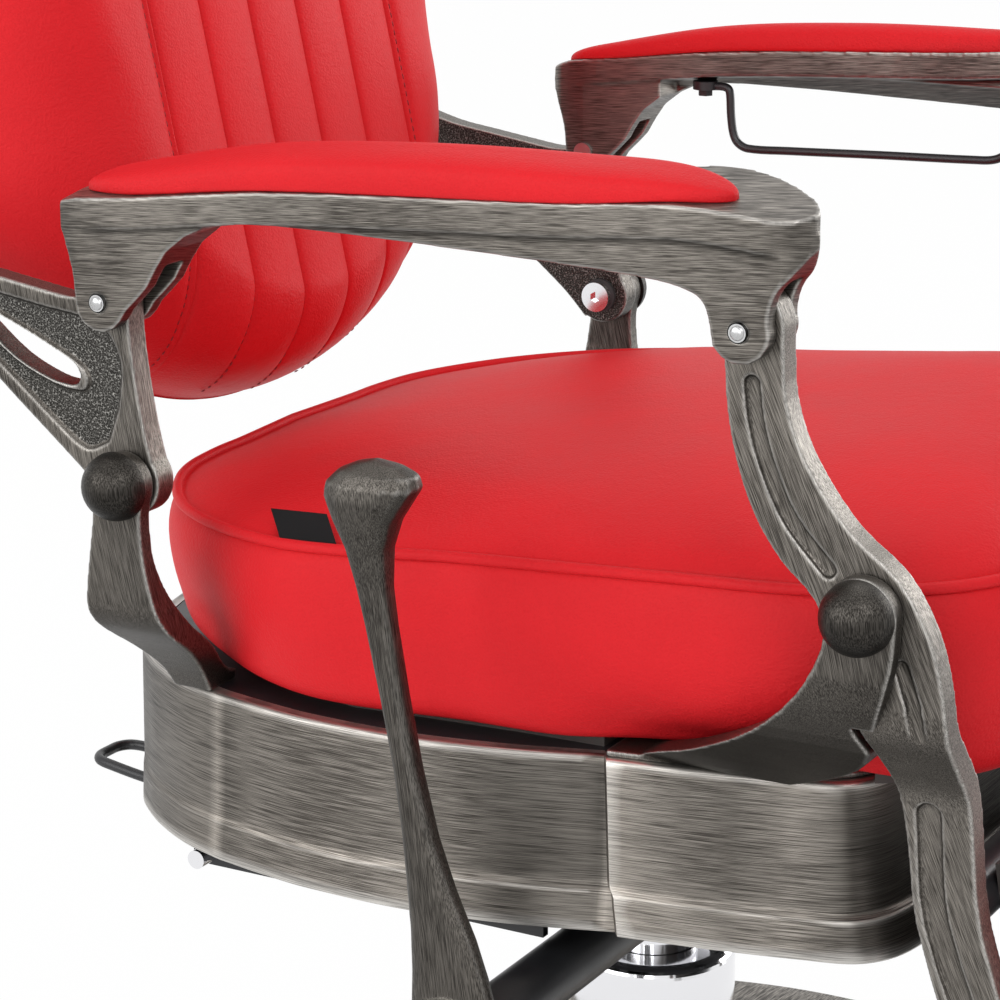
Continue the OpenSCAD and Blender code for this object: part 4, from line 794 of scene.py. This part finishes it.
class CHAIR_OT_back(bpy.types.Operator):
    """Backrest cushion with upright sewn channels and topstitched side panels"""
    bl_idname = "chair.back"
    bl_label = "Backrest cushion"

    def execute(self, context):
        mats, sizes = palette(), context.scene.chair_sizes
        depth = sizes.channel * 1000.0
        across, rows = back_columns(), 190
        last = len(across) - 1
        bm = bmesh.new()
        made = bmesh.ops.create_grid(bm, x_segments=last, y_segments=rows, size=0.5)["verts"]
        for v in made:
            x, b = across[round((v.co.x + 0.5) * last)], v.co.y + 0.5
            t = 0.5 - 0.5 * math.cos(b * math.pi)
            t = 0.65 * t + 0.35 * b
            h = back_height(x, t)
            v.co = leaning(x, back_front(x, h, depth), h)
        rim = [e for e in bm.edges if e.is_boundary]
        mid = (BACK_LOW + BACK_TOP) / 2
        for shrink, rear, short in ((1.004, 0.55, 0.0), (1.0, 1.0, 3.0), (0.985, 1.0, 0.0)):
            out = bmesh.ops.extrude_edge_only(bm, edges=rim)["geom"]
            rim = [g for g in out if isinstance(g, bmesh.types.BMEdge) and g.is_boundary]
            for v in {v for e in rim for v in e.verts}:
                c, s = math.cos(LEAN), math.sin(LEAN)
                d = (v.co - HINGE) * 1000.0
                u, h = d.y * c - d.z * s, d.y * s + d.z * c
                u += (BACK_REAR - short - u) * rear
                v.co = leaning(d.x * shrink, u, mid + (h - mid) * shrink)
        bmesh.ops.holes_fill(bm, edges=rim)
        bmesh.ops.recalc_face_normals(bm, faces=bm.faces)
        back = finish("back_cover", to_mesh(bm, "back"), "back", mats["vinyl"],
                      ("back_cushion",))
        lines = []
        for x in [c for c in CHANNELS if abs(c) < SEAM] + [-SEAM - TOPSTITCH, SEAM + TOPSTITCH]:
            line = []
            for i in range(STEPS + 1):
                h = back_height(x, 0.004 + 0.99 * i / STEPS)
                p = leaning(x, back_front(x, h, depth), h)
                q = leaning(x, back_front(x, h + 1.0, depth), h + 1.0)
                r = leaning(x + 1.0, back_front(x, h, depth), h)
                normal = (r - p).cross(q - p).normalized()
                line.append((p + normal * (0.0009 if abs(x) < SEAM else 0.0003), normal))
            lines.append(line)
        mesh = stitches(lines, sizes.stitch, sizes.pitch, 0.0012)
        finish("back_stitches", mesh, "back", mats["thread"])
        return {"FINISHED"}


# ---- Seat frame ----

FRAME_W, FRAME_REAR, FRAME_FRONT, FRAME_LOW = 283.0, 112.0, -450.0, -242.6
# Three panels of the frame's half outline, as shares of its half width and from its rear face
FRAME_PANELS = [
    [(0, 0), (0.32, -4), (0.57, -20), (0.735, -45), (0.813, -66), (0.873, -89), (0.922, -114),
     (0.956, -141)],
    [(0.96, -145), (0.978, -170), (1, -211), (1, -280), (0.961, -341), (0.896, -399)],
    [(0.914, -403), (0.883, -454), (0.841, -505), (0.809, -534), (0.749, -549), (0.654, -556),
     (0.477, -559), (0, -562)]]
# Section of the frame's wall: height, flare and distance inwards
FRAME_WALL = [(0.0, 1.030, 9.0), (0.0, 1.030, 2.2), (0.5, 1.030, 0.8), (1.8, 1.0295, 0.0),
              (7.0, 1.0272, 0.0), (13.0, 1.0243, 0.0), (19.0, 1.0217, 0.0), (22.0, 1.0206, 0.0),
              (23.4, 1.0198, 0.0), (24.4, 1.0182, 0.0), (25.3, 1.0160, 0.0), (26.3, 1.0138, 0.0),
              (27.5, 1.0118, 0.0), (29.2, 1.0106, 0.0), (32.0, 1.0100, 0.0), (40.0, 1.0088, 0.0),
              (55.0, 1.0068, 0.0), (72.0, 1.0045, 0.0), (88.0, 1.0022, 0.0), (98.5, 1.0006, 0.0),
              (101.4, 1.0002, 0.1), (102.9, 1.0, 0.6), (103.9, 1.0, 1.5), (104.5, 1.0, 2.8),
              (104.6, 1.0, 4.2), (104.6, 1.0, 9.0), (96.6, 1.0, 9.0), (96.6, 1.0, 44.0),
              (88.6, 1.001, 44.0), (88.6, 1.001, 9.0), (0.0, 1.030, 9.0)]


class CHAIR_OT_frame(bpy.types.Operator):
    """Seat frame with its creased sides and flared lower band"""
    bl_idname = "chair.frame"
    bl_label = "Seat frame"

    def execute(self, context):
        half = []
        for panel in FRAME_PANELS:
            half += smooth_line([(a * FRAME_W, FRAME_REAR + b, 0) for a, b in panel], 9)
        outline = half + [Vector((-p.x, p.y, 0)) for p in reversed(half[1:-1])]
        mid = (FRAME_REAR + FRAME_FRONT) / 2
        rings = []
        for z, flare, inset in FRAME_WALL:
            share = 1.0 - inset / FRAME_W
            rings.append([at_hinge(p.x * share * flare,
                                   FRAME_REAR + (mid + (p.y - mid) * share - FRAME_REAR) * flare,
                                   FRAME_LOW + z) for p in outline])
        bm = to_bmesh(loft(rings, close_start=False, close_end=False))
        for edge in bm.edges:
            if edge.is_manifold and edge.calc_face_angle() > math.radians(42):
                edge.smooth = False
        finish("seat_frame_cast", to_mesh(bm, "frame"), "seat",
               palette()["cast_frame"], ("seat_frame",))
        return {"FINISHED"}


# ---- Pads, headrest and calf rest ----

def puffed(mesh, cap, steps):
    """Blows a closed cover up a little with cloth, no point further than cap."""
    obj = spare(mesh)
    rest = [v.co.copy() for v in mesh.vertices]
    cloth = obj.modifiers.new("cloth", "CLOTH")
    cloth.settings.use_pressure = True
    cloth.settings.uniform_pressure_force = 4.0
    cloth.settings.effector_weights.gravity = 0.0
    cloth.settings.tension_stiffness = cloth.settings.compression_stiffness = 15.0
    scene = bpy.context.scene
    for number in range(1, steps + 1):
        scene.frame_set(number)
    graph = bpy.context.evaluated_depsgraph_get()
    moved = bpy.data.meshes.new_from_object(obj.evaluated_get(graph))
    for v, start in zip(moved.vertices, rest):
        way = v.co - start
        if way.length > cap:
            v.co = start + way.normalized() * cap
    bpy.data.objects.remove(obj)
    scene.frame_set(1)
    return moved


def softened(mesh, passes):
    """A mesh evened out."""
    obj = spare(mesh)
    soften = obj.modifiers.new("soften", "SMOOTH")
    soften.factor = 0.5
    soften.iterations = passes
    return baked(obj)


def pad_from(node, name, body, cell, cap):
    """A node's cushion, rounded and blown up by no more than cap."""
    mesh = rounded(node_copy(node), cell, 4)
    mesh = softened(puffed(mesh, cap, 20), 4)
    pad = finish(name, mesh, body, palette()["vinyl"], (node,))


# Top of the armrest as (y, z) in millimetres from the rear hinge, before it is tilted inwards
ARM_TOP = [(40, 163), (24, 168), (-16, 172), (-97.9, 182.2), (-193.5, 188), (-292.8, 193.1),
           (-356.3, 198.3), (-397, 196.5), (-417, 194.5), (-433, 194.5)]
# Half section of the pad, as shares of its half width and of its height
PAD_SIDE = [(-0.90, -0.01), (-0.975, 0.07), (-1.0, 0.24), (-0.985, 0.45), (-0.93, 0.66),
            (-0.80, 0.84), (-0.58, 0.95), (-0.30, 0.995), (0.0, 1.0)]
PAD_REAR, PAD_FRONT, PAD_STEPS, PAD_W, PAD_H = 28.0, -387.0, 110, 22.5, 21.5
# Outer face of the arm, the pad's middle inwards of it, and the height the pad is tilted about
ARM_OUT, PAD_IN, PAD_TURN = 322.5, 24.0, 176.0
PAD_TILT = math.radians(9.5)


class CHAIR_OT_arm_pads(bpy.types.Operator):
    """Long rolled pads on both armrests"""
    bl_idname = "chair.arm_pads"
    bl_label = "Arm pads"

    def execute(self, context):
        top = [(-p.x, p.y) for p in smooth_line([(y, z, 0) for y, z in ARM_TOP])]
        side = [(p.x, p.y) for p in smooth_line([(a, b, 0) for a, b in PAD_SIDE], 4)]
        section = side + [(-a, b) for a, b in reversed(side[:-1])]
        c, s = math.cos(PAD_TILT), math.sin(PAD_TILT)
        for way, body, node in ((-1, "right_arm", "arm_pad_right"),
                                (1, "left_arm", "arm_pad_left")):
            rings = []
            for i in range(PAD_STEPS + 1):
                t = 0.5 - 0.5 * math.cos(math.pi * (0.012 + 0.976 * i / PAD_STEPS))
                y = PAD_REAR + (PAD_FRONT - PAD_REAR) * t
                wide = PAD_W * math.sqrt(1.0 - abs(2 * t - 1) ** (5.5 if t > 0.5 else 8.0))
                rise = math.sin(math.pi * t) ** (0.50 if t > 0.5 else 0.44)
                high = PAD_H * (0.10 + 0.90 * rise) * (0.90 + 0.14 * t)
                base, ring = between(top, -y), []
                for a, b in section:
                    x, z = PAD_IN + a * wide, base + b * high - PAD_TURN
                    x, z = x * c - z * s, x * s + z * c
                    ring.append(at_hinge(way * (ARM_OUT - x), y, z + PAD_TURN))
                rings.append(ring)
            pad = finish(node + "_cover", loft(rings), body, palette()["vinyl"],
                         (node,))
        return {"FINISHED"}


def rounded_box(width, height, sharp, count):
    """A rounded rectangle as points in its own plane."""
    out = []
    for i in range(count):
        a = 2 * math.pi * i / count
        c, s = math.cos(a), math.sin(a)
        out.append((width / 2 * math.copysign(abs(c) ** sharp, c),
                    height / 2 * math.copysign(abs(s) ** sharp, s)))
    return out


# Headrest: height of its middle over the back's top, width and height of its cover
HEAD_RISE, HEAD_W, HEAD_H = 48 + 34, 250, 125


class CHAIR_OT_headrest(bpy.types.Operator):
    """Headrest cushion with piping round both of its faces"""
    bl_idname = "chair.headrest"
    bl_label = "Headrest cushion"

    def execute(self, context):
        pad_from("headrest_cushion", "headrest_cover", "headrest", 0.0045, 0.005)
        mid = BACK_TOP + HEAD_RISE
        for number, (behind, drawn) in enumerate(((14, 8.5), (63, 2.0))):
            line = [leaning(x, BACK_FRONT + behind, mid + z) for x, z in
                    rounded_box(HEAD_W - 2 * drawn, HEAD_H - 2 * drawn, 0.55, 120)]
            line = spaced(line, 160, closed=True)
            finish(f"headrest_welt_{number}", tube(line, 0.003), "headrest",
                   palette()["vinyl"])
        return {"FINISHED"}


class CHAIR_OT_calf(bpy.types.Operator):
    """Calf cushion"""
    bl_idname = "chair.calf"
    bl_label = "Calf cushion"

    def execute(self, context):
        pad_from("calf_cushion", "calf_cover", "legrest", 0.005, 0.006)
        return {"FINISHED"}


# ---- Castings ----

CASTINGS = [
    # node, body, finish, share of the casting detail, passes
    ("arm_right", "right_arm", "cast_arm", 1.0, 9),
    ("arm_left", "left_arm", "cast_arm", 1.0, 9),
    ("front_lever_right", "legrest", "cast_lever", 1.0, 8),
    ("front_lever_left", "legrest", "cast_lever", 1.0, 8),
    ("back_casting_right", "back", "cast_back", 1.0, 5),
    ("back_casting_left", "back", "cast_back", 1.0, 5),
    ("rear_bracket_right", "seat", "cast_bracket", 1.0, 9),
    ("rear_bracket_left", "seat", "cast_bracket", 1.0, 9),
    ("front_bracket_right", "seat", "cast_bracket", 1.0, 8),
    ("front_bracket_left", "seat", "cast_bracket", 1.0, 8),
    ("hand_lever", "pump_lever", "cast_hand", 1.0, 9),
    ("foot_rest", "footrest", "cast_plate", 1.6, 3),
]


class CHAIR_OT_castings(bpy.types.Operator):
    """Castings with rounded edges, brushed over a dark patina"""
    bl_idname = "chair.castings"
    bl_label = "Castings"

    def execute(self, context):
        mats, cell = palette(), context.scene.chair_sizes.cell
        for node, body, finish_name, share, passes in CASTINGS:
            mesh = rounded(node_copy(node), cell * share, passes)
            finish(node + "_cast", mesh, body, mats[finish_name], (node,))
        return {"FINISHED"}


# Arm pins as (y, z) and the arm's face at them, in millimetres; radius of a dome and of its ring
PIN_PLACES = ((10.0, 108.0), (-397.0, 135.0))
PIN_FACE, PIN_R, PIN_RING = 322.0, 0.0041, 0.0048


class CHAIR_OT_pin_heads(bpy.types.Operator):
    """Domed heads of the arm pins, each in a black ring"""
    bl_idname = "chair.pin_heads"
    bl_label = "Pin heads"

    def execute(self, context):
        mats = palette()
        for side, body, name in ((-1, "right_arm", "right"), (1, "left_arm", "left")):
            domes, rings = bmesh.new(), bmesh.new()
            for y, z in PIN_PLACES:
                spot = at_hinge(side * PIN_FACE, y, z)
                made = bmesh.ops.create_uvsphere(
                    domes, u_segments=32, v_segments=16, radius=PIN_R)["verts"]
                bmesh.ops.scale(domes, verts=made, vec=(0.45, 1, 1))
                bmesh.ops.translate(domes, verts=made, vec=spot)
                made = bmesh.ops.create_circle(rings, segments=12, radius=0.0008)["verts"]
                turn = Matrix.Translation(spot + Vector((0, PIN_RING, 0))) @ Matrix.Rotation(
                    math.pi / 2, 4, "Z") @ Matrix.Rotation(math.pi / 2, 4, "X")
                bmesh.ops.transform(rings, verts=made, matrix=turn)
                edges = list({e for v in made for e in v.link_edges})
                bmesh.ops.spin(rings, geom=made + edges, cent=spot, axis=(1, 0, 0),
                               angle=2 * math.pi, steps=40, use_merge=True)
            for bm, kind, slot, mat in ((domes, "pin_domes_", "chrome", "pin_chrome"),
                                        (rings, "pin_rings_", "nylon", "nylon")):
                bmesh.ops.remove_doubles(bm, verts=bm.verts, dist=MERGE)
                bmesh.ops.recalc_face_normals(bm, faces=bm.faces)
                finish(kind + name, to_mesh(bm, kind + name), body, mats[mat])
        return {"FINISHED"}


# Middle of the release loop and of the towel rail, in millimetres across
LOOP_X, RAIL_X = -152.0, 290.5


class CHAIR_OT_rods(bpy.types.Operator):
    """Release loop and towel rail, each bent from one rod"""
    bl_idname = "chair.rods"
    bl_label = "Bent rods"

    def execute(self, context):
        mats = palette()
        half = [(-20.0, 4, -257), (-20.0, 50, -252), (-20.0, 98, -247), (-20.0, 120, -243.8),
                (-17.4, 131.5, -243), (-10.5, 137.2, -243)]
        loop = half + [(0, 138, -243)] + [(-x, y, z) for x, y, z in reversed(half)]
        loop = [(x + LOOP_X, y, z) for x, y, z in loop]
        x = RAIL_X
        rail = [(x, -78, 161.6), (x, -90, 162.4), (x, -98, 162.6), (x, -102.2, 161.2),
                (x, -103.6, 157), (x, -104.6, 142.7), (x, -106.8, 129.4), (x, -110.5, 123),
                (x, -118.5, 119.6), (x, -150, 120.4), (x, -220, 123.2), (x, -290, 125.6),
                (x, -305, 127), (x, -314, 132), (x, -319, 140), (x, -322, 154)]
        for name, body, points, radius in (("release_loop", "release", loop, 0.0035),
                                           ("towel_rail", "left_arm", rail, 0.0030)):
            line = [at_hinge(*p) for p in smooth_line(points, 6)]
            bm = to_bmesh(tube(line, radius, closed=False, sides=6))
            turned = Matrix.Rotation(math.pi / 2, 4, "Y")
            if body == "release":
                hub = Matrix.Translation(at_hinge(LOOP_X, -3, -257)) @ turned
                bmesh.ops.create_cone(bm, cap_ends=True, segments=40, radius1=0.010,
                                      radius2=0.010, depth=0.050, matrix=hub)
            else:
                for y, z, r, high, sides in (
                        (-84, 163, 0.009, 0.006, 40), (-322, 156, 0.009, 0.012, 40),
                        (-84, 158, 0.0055, 0.005, 6)):
                    bmesh.ops.create_cone(bm, cap_ends=True, segments=sides, radius1=r, radius2=r,
                                          depth=high, matrix=Matrix.Translation(at_hinge(x, y, z)))
            for edge in bm.edges:
                edge.smooth = not edge.is_manifold or edge.calc_face_angle() < math.radians(40)
            finish(name + "_rod", to_mesh(bm, name), body, mats["black"], (name,))
        return {"FINISHED"}


# ---- Finishes of the other parts ----

FINISHES = {
    "base_plate": "cast_plate", "floor_plate": "black", "floor_ring": "rubber",
    "pump_cylinder": "black_iron", "pump_cover": "chrome", "flange_bolts": "zinc",
    "ram_seal": "rubber", "ram": "chrome", "swivel_bearing": "zinc", "pump_head": "black_iron",
    "lever_tube": "black", "subframe": "black", "cross_pin": "chrome", "seat_pan": "black",
    "cushion_board": "board", "bracket_bolts": "zinc", "hinge_caps": "cast_cap",
    "hinge_bolts": "chrome", "hinge_washers": "nylon", "pump_piston": "zinc",
    "lever_shaft": "zinc", "pump_rocker": "zinc", "lever_nut": "chrome",
    "back_tube": "cast_arm", "back_tube_bolts": "zinc", "back_saddles": "black",
    "back_shell": "board", "headrest_socket": "cast_hand", "clamp_knob": "nylon",
    "headrest_post": "chrome", "headrest_bracket": "cast_hand", "arm_pins_right": "zinc",
    "arm_pins_left": "zinc", "leg_tubes": "black", "calf_board": "board",
    "foot_pin": "zinc", "lock_cylinder": "black", "lock_rod": "chrome",
}


class CHAIR_OT_finishes(bpy.types.Operator):
    """Finishes of the parts that keep their own shape"""
    bl_idname = "chair.finishes"
    bl_label = "Finishes"

    def execute(self, context):
        mats = palette()
        for node, name in FINISHES.items():
            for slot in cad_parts[node].material_slots:
                slot.material = mats[name]
        return {"FINISHED"}


# ---- Stage ----

# Lights of the studio: name, place, place it faces, size and watts
LIGHTS = [("key", (-2.2, -2.6, 3.1), (0, 0, 0.6), (2.2, 1.6), 46.0),
          ("fill", (-3.2, 1.8, 1.8), (0, 0, 0.6), (2.8, 2.4), 58.0),
          ("side", (-3.6, -0.9, 1.3), (0, 0, 0.6), (1.6, 1.6), 20.0),
          ("top", (0.6, 0.4, 3.6), (0, 0, 0.5), (2.4, 2.4), 30.0),
          ("rim", (2.7, -1.5, 1.3), (0, 0, 0.8), (1.8, 2.0), 48.0)]
# Camera: place, turn about the upright, rise over the level, focal length and film in millimetres
CAM_PLACE = (-1.80844, -0.89201, 1.06288)
CAM_TURN, CAM_RISE = math.radians(-60.82), math.radians(15.63)
CAM_LENS, CAM_FILM = 116.676, 36.0


def area(name, spot, aim, size, watts):
    """A soft light that faces a point."""
    data = bpy.data.lights.new(name, "AREA")
    data.shape = "RECTANGLE"
    data.size, data.size_y = size
    data.energy = watts
    obj = bpy.data.objects.new(name, data)
    obj.location = spot
    obj.rotation_euler = (Vector(aim) - Vector(spot)).to_track_quat("-Z", "Y").to_euler()
    bpy.context.scene.collection.objects.link(obj)


def shown_white(tree, shader, surface, share):
    """Mixes in plain white for what the camera and reflections see."""
    path = tree.nodes.new("ShaderNodeLightPath")
    seen = path.outputs["Is Camera Ray"]
    for ray in ("Is Glossy Ray", "Is Transmission Ray"):
        more = tree.nodes.new("ShaderNodeMath")
        more.operation = "MAXIMUM"
        tree.links.new(seen, more.inputs[0])
        tree.links.new(path.outputs[ray], more.inputs[1])
        seen = more.outputs[0]
    part = tree.nodes.new("ShaderNodeMath")
    part.operation = "MULTIPLY"
    part.inputs[1].default_value = share
    tree.links.new(seen, part.inputs[0])
    white = tree.nodes.new("ShaderNodeEmission" if surface else "ShaderNodeBackground")
    white.inputs["Color"].default_value = (1, 1, 1, 1)
    white.inputs["Strength"].default_value = 1.0
    mix = tree.nodes.new("ShaderNodeMixShader")
    tree.links.new(part.outputs[0], mix.inputs[0])
    tree.links.new(shader, mix.inputs[1])
    tree.links.new(white.outputs[0], mix.inputs[2])
    return mix.outputs[0]


class CHAIR_OT_stage(bpy.types.Operator):
    """Floor, studio light and camera"""
    bl_idname = "chair.stage"
    bl_label = "Stage"

    def execute(self, context):
        scene = context.scene
        bm = bmesh.new()
        bmesh.ops.create_grid(bm, x_segments=4, y_segments=4, size=30.0)
        bmesh.ops.translate(bm, verts=bm.verts, vec=(0, 0, -0.0006))
        mesh = to_mesh(bm, "floor")
        floor = bpy.data.objects.new("floor", mesh)
        scene.collection.objects.link(floor)
        mat = bpy.data.materials.new("floor")
        mat.use_nodes = True
        tree = mat.node_tree
        skin = tree.nodes["Principled BSDF"]
        skin.inputs["Base Color"].default_value = (0.88, 0.88, 0.88, 1)
        skin.inputs["Roughness"].default_value = 0.7
        out = tree.nodes["Material Output"]
        tree.links.new(shown_white(tree, skin.outputs[0], True, 0.985), out.inputs["Surface"])
        mesh.materials.append(mat)
        world = bpy.data.worlds.new("studio")
        scene.world = world
        world.use_nodes = True
        tree = world.node_tree
        soft = tree.nodes["Background"]
        soft.inputs["Color"].default_value = (1, 1, 1, 1)
        soft.inputs["Strength"].default_value = 0.42
        out = tree.nodes["World Output"]
        tree.links.new(shown_white(tree, soft.outputs[0], False, 1.0), out.inputs["Surface"])
        for light in LIGHTS:
            area(*light)
        cam = bpy.data.cameras.new("camera")
        cam.lens = CAM_LENS
        cam.sensor_width = CAM_FILM
        cam.clip_end = 60.0
        obj = bpy.data.objects.new("camera", cam)
        back = Vector((math.sin(CAM_TURN) * math.cos(CAM_RISE),
                       -math.cos(CAM_TURN) * math.cos(CAM_RISE), math.sin(CAM_RISE)))
        obj.location = CAM_PLACE
        obj.rotation_euler = (-back).to_track_quat("-Z", "Y").to_euler()
        scene.collection.objects.link(obj)
        scene.camera = obj
        scene.view_settings.view_transform = "Standard"
        return {"FINISHED"}


class CHAIR_PT_panel(bpy.types.Panel):
    """Lists the chair's pieces and settings"""
    bl_idname = "CHAIR_PT_panel"
    bl_label = "Barber chair"
    bl_space_type = "VIEW_3D"
    bl_region_type = "UI"
    bl_category = "Chair"

    def draw(self, context):
        layout = self.layout
        for group in (context.scene.chair_looks, context.scene.chair_sizes):
            box = layout.box()
            for key in group.__annotations__:
                box.prop(group, key)
        for kind in OPERATORS:
            layout.operator(kind.bl_idname)


OPERATORS = (CHAIR_OT_stage, CHAIR_OT_finishes, CHAIR_OT_castings, CHAIR_OT_frame,
             CHAIR_OT_pin_heads, CHAIR_OT_rods, CHAIR_OT_seat, CHAIR_OT_label, CHAIR_OT_back,
             CHAIR_OT_arm_pads, CHAIR_OT_headrest, CHAIR_OT_calf)
GROUPS = (ChairLooks, ChairSizes)


def register():
    for kind in (*GROUPS, *OPERATORS, CHAIR_PT_panel):
        bpy.utils.register_class(kind)
    bpy.types.Scene.chair_looks = bpy.props.PointerProperty(type=ChairLooks)
    bpy.types.Scene.chair_sizes = bpy.props.PointerProperty(type=ChairSizes)


def unregister():
    del bpy.types.Scene.chair_sizes
    del bpy.types.Scene.chair_looks
    for kind in reversed((*GROUPS, *OPERATORS, CHAIR_PT_panel)):
        bpy.utils.unregister_class(kind)


def main():
    register()
    for kind in OPERATORS:
        group, name = kind.bl_idname.split(".")
        if "FINISHED" not in getattr(getattr(bpy.ops, group), name)():
            raise RuntimeError(kind.bl_idname + " did not finish")


if __name__ == "__main__":
    main()
